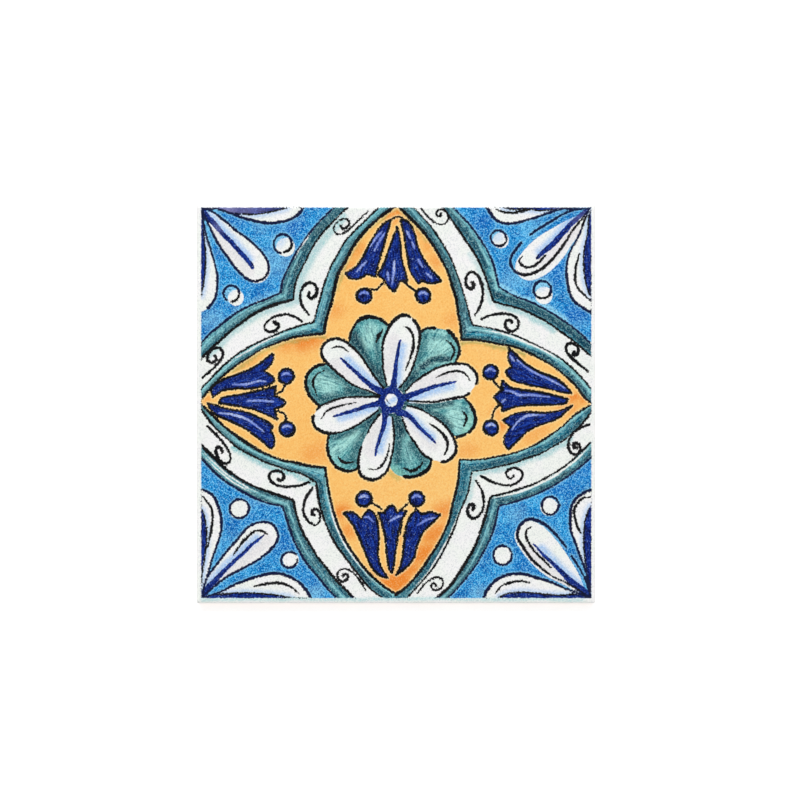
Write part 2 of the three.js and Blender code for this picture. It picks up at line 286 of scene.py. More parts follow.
# The white petals in the corners: outline, line inside, blue vein or the blue strip along the tile's
# edge, and how far the white has slipped off its outline
CORNER_PETALS = [
    dict(edge=[(-98, 98.6), (-91, 95.8), (-81, 88.2), (-71.5, 80.4), (-65.6, 74), (-64.1, 68), (-66.8, 63),
               (-72, 61.8), (-78, 66), (-84, 73), (-89.6, 81), (-94, 89.6), (-98, 98.6)],
         vein=[(-97, 96.5), (-89, 88), (-80, 78.4), (-72, 68.8)], wash=(1.2, 1.2),
         vein_widths=[3.4, 2.8, 2.3, 2.2, 2.5, 2.2],
         shift=(0.9, -0.9)),
    dict(edge=[(-98, 98.8), (-90, 98), (-83.4, 95.9), (-74, 92.9), (-64, 91.3), (-55, 91.9), (-49.4, 94.8),
               (-46, 99.5), (-46, 99.5), (-98, 100.5)],
         strip=[(-98, 100), (-98, 97.6), (-92, 98.3), (-84, 96.2), (-76, 95.4), (-68, 95.6), (-60, 97.2),
                (-55, 98.6), (-55, 100)]),
    dict(edge=[(-98, 98.6), (-96.9, 92), (-95.4, 85), (-92.6, 77), (-90.4, 68), (-89.7, 59), (-91.2, 52.4),
               (-95.4, 47.6), (-99, 46), (-99, 46), (-100, 98)],
         gaps=[(0.485, 1.0)],
         strip=[(-99, 98), (-96.8, 96), (-96.6, 87), (-95.7, 78), (-95.6, 69), (-96.6, 61), (-97.8, 54.6),
                (-99.5, 54)]),
    dict(edge=[(97.6, 98.6), (88, 96.9), (78, 92), (68, 85.8), (61.6, 79.6), (57.7, 73.4), (58.4, 68.2),
               (62.6, 65), (68, 65.3), (75, 69.4), (81.6, 76.4), (87, 84.6), (92.4, 91.6), (97.6, 98.6)],
         gaps=[(0.305, 0.355)], inner_ink=1.4,
         shift=(2.4, -2.6), vein=[(97, 98.4), (88, 90.6), (79, 80.8), (70.8, 73.2)], wash=(-1.4, 1.4),
         vein_widths=[1.8, 2.4, 2.8, 3.0, 2.8, 1.6],
         inner=[(63.6, 74.2), (61.9, 72), (63.6, 69.3), (67.4, 68.7), (71.6, 71.2), (75.2, 74.4)]),
    dict(edge=[(97.6, 99), (86, 98.6), (78, 96.5), (68, 93), (60, 90.8), (54, 90.8), (49.4, 93.2),
               (45, 99.5), (45, 99.5), (97, 100.5)],
         strip=[(97, 100.5), (97, 98.4), (86, 98), (78, 97.5), (72, 97.2), (66, 97.9), (60, 97.7),
                (54, 98.7), (54, 100.5)],
         inner=[(50.2, 98), (53, 96.8), (58, 96.3), (63, 96.7), (68, 98)]),
    dict(edge=[(97.6, 98.8), (94, 90.4), (90.4, 82.4), (86.6, 74), (85.4, 65), (86.4, 57.6), (90.4, 51),
               (98.5, 45.4), (98.5, 45.4), (99, 98)],
         strip=[(98.5, 98), (96.8, 94), (96.2, 86), (94.6, 78), (94.2, 70), (95, 62), (96.8, 56),
                (98.5, 54)],
         inner=[(92.2, 75.6), (90.4, 69), (89.8, 62), (91.6, 57.6), (97, 52.3)]),
    dict(edge=[(97.8, -97), (93.4, -85.4), (87, -74.6), (80, -65.2), (73.6, -59.4), (67.6, -57.6),
               (62.4, -60.6), (60.9, -66.4), (64.4, -72.8), (70.6, -80.2), (78, -86), (86, -89.9),
               (97.8, -97)],
         gaps=[(0.205, 0.245)],
         shift=(-1.2, -1.0), vein=[(97, -96.4), (88, -89), (78, -79.4), (69, -70.4)], wash=(1.3, 1.3),
         vein_widths=[4.2, 3.6, 2.8, 2.1, 1.6, 0.8],
         inner=[(68, -61.8), (65.3, -63.4), (65.6, -67.6), (69.4, -73.6), (74.4, -78.6), (78, -82)]),
    dict(edge=[(97.8, -97), (95.4, -84), (91.6, -73.4), (88, -63), (87.3, -55), (89.4, -48.6), (93.6, -44.8),
               (98.5, -42.8), (98.5, -42.8), (99, -97)],
         strip=[(98.5, -97), (96.2, -90), (95.2, -80), (94.2, -70), (94.7, -60), (96, -54.6), (97.4, -51.5),
                (98.5, -51.5)],
         inner=[(97, -46.9), (93.2, -47.4), (89.8, -52), (89.8, -57.6), (92.6, -64.8)]),
    dict(edge=[(97.8, -97), (89, -94), (80, -90.4), (72, -87.2), (63.4, -85.2), (56, -85.8), (49.8, -88.8),
               (45.4, -93.8), (44, -98), (44, -98), (97, -99)],
         strip=[(97, -98), (92, -95.4), (83, -95.9), (74, -95.3), (64, -94.3), (57, -94.9), (52, -96.8),
                (52, -98)],
         inner=[(50, -94.6), (53, -91), (58, -89.4), (62.6, -89), (66.7, -90)]),
    dict(edge=[(-97.6, -97), (-95, -87.6), (-89, -79), (-82, -70.5), (-74.6, -62.4), (-68, -59.3),
               (-62, -60.8), (-59.6, -66.6), (-62.8, -72.8), (-70, -78.5), (-78, -83), (-86.6, -87.8),
               (-97.6, -97)],
         vein=[(-96, -94.6), (-88, -85.4), (-77, -75), (-66.4, -65.8)], wash=(-1.2, 1.2),
         inner=[(-81.6, -75.6), (-77.4, -70.2), (-72, -64.6), (-68, -63.3), (-64.4, -65)]),
    dict(edge=[(-97.6, -97), (-88, -94), (-80, -90.2), (-71, -87.2), (-62, -85.2), (-54.4, -86.3),
               (-48.8, -89.4), (-44.8, -94), (-43, -98), (-43, -98), (-97, -99)],
         strip=[(-97, -98), (-94, -96), (-86, -95.2), (-76, -94.7), (-66, -95.3), (-58, -96.2),
                (-52.6, -97.3), (-52.6, -98)],
         inner=[(-71.4, -91.5), (-66, -90.1), (-60, -89.7), (-54, -91), (-48.6, -95.2)]),
    dict(edge=[(-97.6, -97), (-95, -87), (-92.4, -78), (-89, -67.6), (-87.8, -58), (-90, -49.4),
               (-93, -44.9), (-98, -42.6), (-98, -42.6), (-99, -97)],
         strip=[(-98.5, -97), (-97.2, -84), (-95.8, -75), (-95, -66), (-95.8, -58), (-97.2, -53.2),
                (-98.5, -52.6)],
         inner=[(-96.6, -46.4), (-92.8, -52), (-92.2, -59), (-94.4, -71.6)]),
]

# Ring dots: centre, radius, the gap in the ring from one bearing to another in degrees, and how far the
# white spot has slipped off the ring
RING_DOTS = [
    ((-57, 80.6), 4.7, -100, -78, (1.6, -1.8)), ((-82.6, 55.6), 4.0, -120, -85, (2.2, -2.2)),
    ((51.6, 83.4), 4.0, 0, 0, (1.0, -1.2)), ((73.4, 57.4), 4.4, 170, 185, (0.8, -2.8)),
    ((77.4, -50.8), 4.4, 0, 0, (-0.5, -0.8)), ((53.6, -75.8), 4.7, 0, 0, (0, -0.4)),
    ((-78.6, -52.4), 4.8, 0, 0, (-0.3, -0.3)), ((-53.6, -78.2), 4.0, 5, 38, (0.8, 0.1)),
]

# Soft brushwork: tint, strength, width, how far it fades out, and its line. Most of it is in the
# rosette's teal petals. The last two touches are an olive one below them and a rust one in the star's
# right point.
PETAL_SHADES = [
    ("pale", 0.8, 3, 4, [(-14.5, 31), (-12.5, 37.5)]),
    ("pale", 0.7, 0.8, 0.8, [(-5.8, 39), (-7, 34), (-7.4, 28)]),
    ("deep", 1.1, 2.4, 4, [(-21.5, 34), (-17, 24), (-11, 14)]),
    ("deep", 0.6, 1.5, 1.5, [(-9.6, 33), (-9.4, 26), (-8, 16)]), ("deep", 0.9, 4, 4, [(-12, 17), (-6.5, 9)]),
    ("pale", 0.8, 4, 4, [(19.5, 29), (24.5, 29)]),
    ("pale", 0.9, 0.8, 0.8, [(10.5, 16.8), (14.5, 21.4), (19.5, 24.8), (25, 25)]),
    ("deep", 1.2, 1.8, 1.2, [(13, 18.6), (18.5, 22.2), (22.5, 23), (26.8, 22.6)]),
    ("pale", 0.8, 0.7, 0.7, [(14.5, 18.6), (20.5, 20.7), (28, 21.2)]),
    ("deep", 0.5, 2, 3, [(13.5, 34), (10.5, 22)]), ("deep", 0.9, 4, 3, [(2.5, 9), (9, 15.5)]),
    ("pale", 0.5, 1, 1, [(15.5, 36), (20.5, 36.6), (26, 34.6)]),
    ("pale", 0.9, 5, 4, [(29.5, -6), (33, -10.5)]),
    ("pale", 0.8, 0.7, 0.7, [(18.5, -3.6), (24, -1.4), (32, -0.6)]),
    ("deep", 0.9, 1.6, 1.4, [(8, 0), (18, -1), (28, 0.6)]),
    ("deep", 0.9, 2, 2, [(12, -3), (21, -6), (27, -11.5)]),
    ("pale", 0.5, 1, 0.8, [(36.5, -1.5), (38, -6), (37.4, -11)]),
    ("pale", 0.3, 2, 3, [(4.6, -18), (6.5, -28)]), ("mint", 0.6, 1.4, 3, [(-1.6, -33), (3, -36)]),
    ("deep", 0.8, 2, 2, [(1.2, -16), (0.6, -29)]), ("deep", 0.9, 3, 3, [(1, -8), (2.5, -15)]),
    ("deep", 0.7, 2, 2.4, [(8, -20), (14, -28)]),
    ("pale", 0.8, 2, 3, [(-31.5, -24.5), (-26, -20), (-20, -15)]),
    ("pale", 0.5, 1, 1, [(-32, -20), (-33, -27), (-28, -31)]),
    ("deep", 0.7, 1.6, 1.6, [(-31.5, -16.6), (-25, -15), (-16, -9.6)]),
    ("deep", 0.7, 3, 3, [(-21, -27.5), (-18.5, -21), (-12, -10)]),
    ("deep", 0.9, 3, 3, [(-14, -11), (-9, -4)]), ("pale", 0.7, 4, 4, [(-38.5, 11), (-33, 8.5)]),
    ("pale", 0.6, 0.8, 1, [(-35, 16), (-28, 10.5), (-24, 8)]),
    ("deep", 0.6, 1.2, 1.2, [(-36, 18.3), (-30, 13.6), (-24, 10.2)]),
    ("deep", 0.8, 2, 2.5, [(-38, 2.4), (-30, 3.2), (-18, 4.6)]),
    ("deep", 0.9, 2.5, 2.5, [(-24, 7), (-10, 3.6)]),
    ("deep", 0.5, 1.4, 1, [(-43.6, 12), (-43, 6), (-40, 1)]),
    ("mint", 0.5, 1.2, 1.8, [(37, -6), (36.6, -10), (34, -14)]),
    ("olive", 0.6, 0.6, 1.6, [(-3, -34.4), (1, -37.2)]),
    ("rust", 1.6, 0.3, 0.6, [(87, 3.2), (90.5, 3.4), (94, 3)]),
]

# The same in the teal bands. The line runs at a share of the way from the band's inner edge to its outer
# one: quarter, run before or after the corner, share, tint, strength, width.
STAR_BAND_SHADES = [
    (0, 0, 0.74, "pale", 1.0, 2.0), (0, 0, 0.2, "deep", 0.8, 1.4), (0, 1, 0.7, "pale", 0.7, 0.8),
    (0, 1, 0.45, "pale", 0.5, 0.6), (0, 1, 0.12, "deep", 0.8, 1.6), (1, 0, 0.62, "pale", 0.8, 0.7),
    (1, 0, 0.88, "deep", 0.7, 0.8), (1, 0, 0.3, "deep", 0.9, 1.6), (1, 1, 0.78, "pale", 1.2, 1.5),
    (1, 1, 0.2, "deep", 0.9, 2.0), (2, 0, 0.14, "pale", 1.1, 0.5), (2, 0, 0.7, "deep", 0.7, 2.0),
    (2, 1, 0.5, "deep", 0.6, 2.4), (2, 1, 0.85, "pale", 0.5, 0.5), (3, 0, 0.16, "pale", 1.0, 0.7),
    (3, 0, 0.7, "deep", 0.8, 1.8), (3, 1, 0.3, "pale", 0.9, 1.1), (3, 1, 0.62, "pale", 0.5, 0.6),
    (3, 1, 0.86, "deep", 0.9, 1.0),
]
SKY_BAND_SHADES = [
    (0, 0, 0.5, "pale", 0.9, 0.8), (0, 0, 0.84, "pale", 0.5, 0.6), (0, 0, 0.2, "deep", 0.8, 1.4),
    (0, 1, 0.62, "pale", 0.9, 0.7), (0, 1, 0.3, "deep", 0.8, 2.4), (0, 1, 0.86, "deep", 0.7, 1.0),
    (1, 0, 0.66, "pale", 0.9, 0.9), (1, 0, 0.3, "deep", 0.8, 1.8), (1, 0, 0.9, "pale", 0.5, 0.4),
    (1, 1, 0.5, "deep", 0.8, 3.0), (1, 1, 0.9, "pale", 0.5, 0.5), (2, 0, 0.1, "pale", 1.2, 1.0),
    (2, 0, 0.38, "pale", 0.7, 1.0), (2, 0, 0.75, "deep", 0.9, 1.8), (2, 1, 0.5, "pale", 0.8, 1.0),
    (2, 1, 0.15, "deep", 0.8, 1.2), (2, 1, 0.85, "deep", 0.7, 1.2), (3, 0, 0.55, "pale", 0.8, 0.9),
    (3, 0, 0.2, "deep", 0.8, 1.6), (3, 0, 0.88, "deep", 0.7, 1.0), (3, 1, 0.45, "pale", 0.8, 1.0),
    (3, 1, 0.7, "pale", 0.7, 0.7), (3, 1, 0.14, "deep", 0.9, 1.2), (3, 1, 0.92, "deep", 0.8, 1.0),
]

# Thin streaks that the teal leaves white: the band's two edges, quarter, run, share, where along it,
# width
WHITE_STREAKS = [
    (WHITE_EDGE, SKY_EDGE, 2, 0, 0.2, 0.05, 1.0, 1.3), (STAR_EDGE, TEAL_EDGE, 3, 0, 0.2, 0.15, 0.9, 0.75),
    (STAR_EDGE, TEAL_EDGE, 2, 1, 0.8, 0.3, 0.95, 0.7), (WHITE_EDGE, SKY_EDGE, 0, 1, 0.88, 0.35, 0.7, 0.5),
    (STAR_EDGE, TEAL_EDGE, 1, 1, 0.82, 0.1, 0.7, 1.0), (WHITE_EDGE, SKY_EDGE, 3, 1, 0.36, 0.3, 0.95, 0.7),
    (STAR_EDGE, TEAL_EDGE, 0, 0, 0.72, 0.3, 0.8, 0.7), (WHITE_EDGE, SKY_EDGE, 3, 1, 0.66, 0.35, 0.9, 0.7),
]

# Thin glaze that has run off a line: edge, quarter, run, where along it, how far out of the line its
# middle lies, tint, strength, width, fade
RUNS = [
    (WHITE_EDGE, 0, 0, 0.1, 1.0, -1.6, "bleed", 0.7, 1.4, 1.8),
    (WHITE_EDGE, 0, 1, 0.0, 0.9, -2.0, "bleed", 0.75, 2.0, 2.0),
    (WHITE_EDGE, 1, 0, 0.5, 1.0, -1.4, "bleed", 0.5, 1.0, 1.5),
    (WHITE_EDGE, 1, 1, 0.05, 0.6, -1.6, "bleed", 0.8, 1.6, 1.6),
    (TEAL_EDGE, 2, 0, 0.25, 1.0, 1.4, "bleed", 0.8, 1.4, 1.5),
    (TEAL_EDGE, 3, 1, 0.0, 0.65, 1.3, "bleed", 1.0, 1.4, 1.2),
    (TEAL_EDGE, 2, 1, 0.0, 0.25, 1.4, "bleed", 0.6, 1.0, 1.2),
    (STAR_EDGE, 0, 0, 0.3, 1.0, -1.3, "olive", 0.7, 0.8, 1.0),
    (STAR_EDGE, 0, 1, 0.3, 1.0, -1.3, "olive", 0.7, 0.7, 1.0),
    (STAR_EDGE, 1, 1, 0.0, 0.45, -1.3, "olive", 0.9, 1.0, 1.0),
    (STAR_EDGE, 1, 0, 0.0, 0.3, -1.2, "olive", 0.5, 0.6, 1.0),
    (SKY_EDGE, 1, 1, 0.0, 0.7, 1.4, "mist", 1.5, 0.8, 1.0),
    (SKY_EDGE, 0, 0, 0.5, 1.0, 1.5, "mist", 0.4, 0.8, 1.2),
]

# Where the orange glaze lies thicker, and where the sky is deeper or paler: place, radius, strength
RUST = [
    ((-45, 31.5), 7, 1.1), ((-54, 30), 5, 0.7), ((-38, 31), 4, 0.7), ((0, 95), 6, 0.9),
    ((-20.5, 77), 5, 0.7), ((-24, 68), 4, 0.6), ((22, 72), 5, 0.6), ((18, 80), 5, 0.5), ((12, 86), 4, 0.5),
    ((-96, 2), 3, 0.5), ((89, 3), 3, 1.0), ((94.5, 2), 2.4, 0.9), ((86, -2), 5, 0.8), ((53, -11), 4, 0.9),
    ((50, -4), 3, 0.5), ((-1, -91), 9, 1.3), ((6, -84), 6, 1.0), ((14, -76), 7, 1.15), ((20, -66), 7, 1.0),
    ((25, -54), 6, 0.85), ((-28, -55), 5, 1.1), ((-23, -64), 5, 0.8), ((-12, -86), 5, 0.7),
    ((-30, 24), 6, 0.5), ((-40, -25), 7, 0.5), ((-75, 22), 6, 0.4), ((70, -15), 7, 0.4), ((3, -68), 3, 0.4),
    ((84, 8), 3, 0.4), ((-66, -15), 5, 0.4), ((-31, 46), 5, 0.5), ((29, 42), 5, 0.4), ((36, -24), 5, 0.4),
]
DUSK = [
    ((-80, 93), 9, 0.5), ((-70, 58), 9, 0.3), ((-52, 88), 6, 0.7), ((84, 66), 9, 0.7), ((90, 44), 7, 0.8),
    ((45, 92), 7, 0.7), ((92, -36), 6, 0.7), ((84, -42), 7, 0.7), ((68, -80), 8, 0.5), ((-90, -38), 6, 0.3),
    ((-60, -72), 8, 0.5), ((-78, -60), 9, 0.3), ((-86, 76), 5, 0.4), ((55, -90), 6, 0.5),
    ((-45, -88), 6, 0.4), ((44, -66), 6, 0.4),
]
MIST = [
    ((-62, 70), 9, 0.5), ((-66, 90), 5, 0.4), ((-92, 42), 5, 0.5), ((68, 88), 6, 0.3), ((60, 62), 7, 0.4),
    ((74, -68), 6, 0.4), ((-72, -50), 6, 0.2), ((-84, -70), 6, 0.15), ((-56, 92), 5, 0.3),
    ((-40, -95), 4, 0.6), ((42, -95), 4, 0.6), ((60, -56), 5, 0.4), ((92, 40), 3, 0.2), ((73, 59), 4, 1.3),
    ((90, 84), 4, 0.7), ((-58, 82), 4, 0.8), ((84, 76), 4, 0.5), ((-93, 84), 3, 0.4),
]

# Where the navy along the tile's edge turns violet: place, radius, strength
VIOLET = [
    ((-84, 97.6), 5, 1.0), ((-90, 96.5), 3, 0.7), ((-74, 97.4), 8, 0.55), ((-66, 97.6), 5, 0.3),
    ((-88, 89), 4, 0.4), ((92, 93), 4, 0.25), ((84, 98), 5, 0.5),
]

# Lines on the face

LINE_STEP = 0.6
CIRCLE_POINTS = 48
BAND_POINTS = 90
INK_KNOTS = 9


def smooth(points):
    """A smooth line through the points, in short steps, with sharp corners where a point stands twice."""
    runs = [[points[0]]]
    for a, b in zip(points, points[1:]):
        if a == b:
            runs.append([b])
        else:
            runs[-1].append(b)
    line = []
    for run in runs:
        if len(run) < 2:
            continue
        p = np.array(run, float)
        p = np.vstack([2 * p[0] - p[1], p, 2 * p[-1] - p[-2]])
        for i in range(1, len(p) - 2):
            count = max(2, int(math.dist(p[i], p[i + 1]) / LINE_STEP))
            t = np.linspace(0, 1, count, endpoint=False)[:, None]
            a, b, c, d = p[i - 1], p[i], p[i + 1], p[i + 2]
            bend = 2 * a - 5 * b + 4 * c - d + t * (3 * (b - c) + d - a)
            line.append(b + 0.5 * t * (c - a + t * bend))
        line.append(p[-2][None])
    return np.vstack(line)


def circle(centre, radius, start=0.0, end=360.0):
    turn = np.radians(np.linspace(start, end, CIRCLE_POINTS))
    return np.column_stack([centre[0] + radius * np.cos(turn), centre[1] + radius * np.sin(turn)])


def lengths(line):
    """How far along the line each of its points lies."""
    return np.concatenate([[0], np.cumsum(np.hypot(*np.diff(line, axis=0).T))])


def at_lengths(line, at):
    """The places on a line at the given lengths along it."""
    length = lengths(line)
    return np.column_stack([np.interp(at, length, line[:, k]) for k in range(2)])


def part_of(line, start, end):
    """The stretch of a line between two shares of its points."""
    return line[int(start * len(line)):int(end * len(line))]


def without_gaps(line, gaps):
    """The stretches of a line that are left between its gaps, given as shares of its length."""
    share = lengths(line)
    share /= share[-1]
    stretches = []
    start = 0.0
    for gap_start, gap_end in list(gaps) + [(1.0, 1.0)]:
        kept = line[(share >= start) & (share <= gap_start)]
        if len(kept) > 2:
            stretches.append(kept)
        start = gap_end
    return stretches


def side_line(line, offset):
    """The line moved sideways by the offset, to its left."""
    way = np.gradient(line, axis=0)
    way /= np.maximum(np.hypot(way[:, 0], way[:, 1]), 1e-9)[:, None]
    return line + np.column_stack([-way[:, 1], way[:, 0]]) * np.asarray(offset)[..., None]


def band_line(inner, outer, quarter, run, share):
    """A line along a band at a share of its width, in one run from end to corner or from corner to end."""
    sides = []
    for edge in (inner, outer):
        points = edge[quarter]
        corner = next(i for i in range(1, len(points)) if points[i] == points[i - 1])
        line = smooth(points[:corner] if run == 0 else points[corner:])
        sides.append(at_lengths(line, np.linspace(0, lengths(line)[-1], BAND_POINTS)))
    return sides[0] + (sides[1] - sides[0]) * share


# The hand that draws: one seeded row of random numbers, taken in the order of the drawing

hand = np.random.default_rng(11)


def tremble(line, size=0.18, every=7.0):
    """The same line drawn by a hand that is not quite steady."""
    length = lengths(line)
    knots = np.arange(0, length[-1] + 2 * every, every)
    shake = hand.normal(0, size, (len(knots), 2))
    return line + np.column_stack([np.interp(length, knots, shake[:, k]) for k in range(2)])


def uneven(width, count=INK_KNOTS, share=0.13):
    """Widths along a stroke, each a little off the given one."""
    return width * (1 + hand.normal(0, share, count))


# The painting is a list of marks, in their order. A mark is a stroke, an area or a cut in one paint.
marks = []

# Soft brushwork fades out at its edges. It gives each place a strength for its tint, from 0 up.
soft_marks = []


def stroke(paint, line, widths):
    length = lengths(line)
    width = np.interp(length, np.linspace(0, length[-1], len(widths)), widths)
    marks.append((paint, "stroke", line, width / 2))


def area(paint, line):
    marks.append((paint, "area", line, None))


def cut(paints, line):
    for paint in paints:
        marks.append((paint, "cut", line, None))


def brush(tint, strength, width, fade, line):
    soft_marks.append((tint, strength, width / 2, fade, line))


def ink_line(points, width, gaps=(), taper=0.7, swell=(1.0, 1.0, 1.0)):
    """An inked line. It swells from its start through its middle to its end by the given shares."""
    line = tremble(smooth(points))
    whole = lengths(line)[-1]
    for part in without_gaps(line, gaps):
        start = lengths(line)[np.argmin(np.hypot(*(line - part[0]).T))] / whole
        at = np.linspace(start, start + lengths(part)[-1] / whole, INK_KNOTS)
        widths = uneven(width) * np.interp(at, np.linspace(0, 1, len(swell)), swell)
        widths[0] *= taper
        widths[-1] *= taper
        stroke("ink", part, widths)


# The ground: sky, two teal bands and the orange star

BORDER = np.array([(PRINT_LEFT, PRINT_BOTTOM), (PRINT_RIGHT, PRINT_BOTTOM), (PRINT_RIGHT, PRINT_TOP),
                   (PRINT_LEFT, PRINT_TOP)])
STAR_BAND = (STAR_EDGE, TEAL_EDGE)
SKY_BAND = (WHITE_EDGE, SKY_EDGE)


def draw_ground():
    star, teal, white, sky = [np.vstack([smooth(side) for side in edge])
                              for edge in (STAR_EDGE, TEAL_EDGE, WHITE_EDGE, SKY_EDGE)]
    area("sky", BORDER)
    cut(["sky"], sky)
    area("outer_teal", sky)
    cut(["outer_teal"], white)
    area("teal", teal)
    cut(["teal"], star)
    area("orange", star)


def shade_bands():
    """Soft streaks along the teal bands, thin ones that stay white, and glaze that has run off a line."""
    for band, shades in ((STAR_BAND, STAR_BAND_SHADES), (SKY_BAND, SKY_BAND_SHADES)):
        for quarter, run, share, tint, strength, width in shades:
            brush(tint, strength, width, 0.6, tremble(band_line(*band, quarter, run, share), 0.2, 5))
    for inner, outer, quarter, run, share, start, end, width in WHITE_STREAKS:
        line = part_of(tremble(band_line(inner, outer, quarter, run, share), 0.15, 5), start, end)
        half = width / 2 * np.sin(np.linspace(0, math.pi, len(line))) ** 0.5
        cut(["teal", "outer_teal"], np.vstack([side_line(line, half), side_line(line, -half)[::-1]]))
    for edge, quarter, run, start, end, out, tint, strength, width, fade in RUNS:
        line = band_line(edge, edge, quarter, run, 0)
        line = side_line(line, np.full(len(line), out))
        brush(tint, strength, width, fade, tremble(part_of(line, start, end), 0.4, 4))


def shade_lower_edge():
    """A faint teal haze just below the painting."""
    x = np.linspace(-97, 97, 60)
    line = np.column_stack([x, np.full(len(x), PRINT_BOTTOM - 0.6)])
    brush("fringe", 1.0, 0.6, 1.2, tremble(line, 0.3, 5))


def shade_spots():
    for tint, spots in (("rust", RUST), ("dusk", DUSK), ("mist", MIST), ("violet", VIOLET)):
        for (x, y), radius, strength in spots:
            line = np.array([(x - radius / 3, y), (x + radius / 3, y + radius / 4)])
            brush(tint, strength, 0.5, radius * 1.3, line)


def draw_edges():
    for edge, widths in EDGE_INKS:
        for points, (before, after) in zip(edge, widths):
            stroke("ink", tremble(smooth(points), 0.15), uneven(np.repeat([before, after], 8), 16))


# The rosette

VEIN_WIDTHS = [3.8, 2.7, 2.2, 1.9, 1.7, 1.0]
PETAL_GROUND_RADIUS = 12  # the teal under the feet of the white petals
ORANGE_FREE_RADIUS = 14
HEART_SHADE_RADIUS = 8.5


def draw_vein(petal):
    """A blue vein with a soft wash beside it, on one side, and a warm grey one on the other."""
    line = smooth(petal["vein"])
    stroke("navy", tremble(line, 0.15, 4), petal.get("vein_widths", VEIN_WIDTHS))
    side = np.array(petal["wash"])
    brush("wash", 1.0, 1.0, 3.0, part_of(line, 0, 0.92) + side * 0.8)
    brush("blush", 1.0, 3.0, 3.0, line[len(line) // 3:] - side * 1.8)


def draw_teal_petal(petal):
    shape = np.vstack([smooth(petal["edge"]), [HEART]])
    area("teal", shape)
    cut(["orange"], shape)
    ink_line(petal["edge"], PLAIN + 0.4, petal["gaps"], 1, (0.7, 1.1, 1.1, 0.8))
    ink_line(petal["inner"], petal.get("inner_ink", FINE), swell=(0.6, 1.2, 0.7))


def draw_white_petal(petal):
    shape = smooth(petal["edge"])
    cut(["teal", "orange"], shape)
    cut(["teal"], shape + np.array(petal.get("slip", (0, 0))))
    ink_line(petal["edge"], PLAIN, petal["gaps"], 1, (0.9, 0.85, 1.25, 1.2, 0.85, 0.9))
    ink_line(petal["inner"], petal.get("inner_ink", FINE), swell=(0.6, 1.2, 1.2, 0.6))
    draw_vein(petal)


def draw_heart():
    disc = circle(HEART, HEART_RADIUS)
    area("navy", disc)
    cut(["teal", "orange"], disc)
    cut(["navy", "ink"], circle(HEART, HEART_DOT_RADIUS))
    x, y = HEART
    brush("wash", 0.9, 0.8, 1.8, smooth([(x - 1.8, y - 1.8), (x + 0.4, y - 0.4), (x + 2.2, y + 0.6)]))
    ink_line([(x - 2.4, y + 1.4), (x - 1.9, y - 0.8), (x - 0.4, y - 2.0)], 0.5)


def draw_rosette():
    for petal in TEAL_PETALS:
        draw_teal_petal(petal)
    cut(["orange"], circle(HEART, ORANGE_FREE_RADIUS))
    area("teal", circle(HEART, PETAL_GROUND_RADIUS))
    brush("deep", 2.2, 7, 8, circle(HEART, HEART_SHADE_RADIUS))
    for petal in WHITE_PETALS:
        draw_white_petal(petal)
    for tint, strength, width, fade, points in PETAL_SHADES:
        brush(tint, strength, width, fade, smooth(points))
    draw_heart()


# Scrolls, lilies, corners and dots

def draw_scrolls():
    for number, points in enumerate(SCROLLS):
        width = FINE + 0.1 if number in THIN_SCROLLS else PLAIN + 0.15
        ink_line(points, width, taper=0.9, swell=(0.95, 1.0, 0.95, 1.3))


def draw_lilies():
    for lily in LILIES:
        for petal in lily["petals"]:
            shape = smooth(petal + petal[:1])
            area("navy", shape)
            stroke("ink", tremble(shape, 0.1), uneven(FINE + 0.2, 15))
        for glint in lily["glints"]:
            stroke("glint", smooth(glint), [0.6, 1.2, 1.1, 0.6])
        for centre, radius in lily["balls"]:
            area("navy", circle(centre, radius + 0.5))
            stroke("ink", tremble(circle(centre, radius + 0.45), 0.15), uneven(PLAIN))
            x, y = centre
            stroke("glint", smooth([(x - 2.2, y + 0.6), (x, y + 1.7), (x + 2.0, y + 0.8)]), [0.8, 1.4, 0.9])
        for line in lily["lines"]:
            ink_line(line, FINE + 0.2, taper=0.9)


def draw_corners():
    for petal in CORNER_PETALS:
        cut(["sky"], smooth(petal["edge"]) + np.array(petal.get("shift", (0, 0))))
        ink_line(petal["edge"], PLAIN, petal.get("gaps", ()), 1, (0.7, 1.0, 1.15, 1.0, 0.7))
        if "inner" in petal:
            ink_line(petal["inner"], petal.get("inner_ink", FINE + 0.15), swell=(0.8, 1.2, 0.9))
        if "vein" in petal:
            draw_vein(petal)
        if "strip" in petal:
            strip = smooth(petal["strip"])
            area("navy", strip)
            stroke("ink", strip, [0.9, 0.9])
            brush("wash", 0.7, 1.6, 2.2, strip)


def draw_ring_dots():
    for centre, radius, gap_start, gap_end, slip in RING_DOTS:
        cut(["sky"], circle(np.add(centre, slip), radius))
        if math.hypot(*slip) > 1.2:
            brush("wash", 0.5, 1.0, 2.4, circle(np.subtract(centre, slip), radius * 0.4))
            brush("mist", 1.1, 2.0, 2.0, circle(centre, radius * 0.3))
        stroke("ink", tremble(circle(centre, radius, gap_end, gap_start + 360), 0.15), uneven(PLAIN - 0.05))


draw_ground()
shade_bands()
shade_lower_edge()
shade_spots()
draw_edges()
draw_rosette()
draw_scrolls()
draw_lilies()
draw_corners()
draw_ring_dots()

# How deep in each paint a place lies

REACH = 2.4  # no paint is measured further from its edge than this


def within(x, y, line, margin):
    """Which of the places lie in the line's box, grown by the margin."""
    low, high = line.min(0) - margin, line.max(0) + margin
    return np.flatnonzero((x > low[0]) & (x < high[0]) & (y > low[1]) & (y < high[1]))


def soft_step(value, start, end):
    t = np.clip((value - start) / (end - start), 0, 1)
    return t * t * (3 - 2 * t)


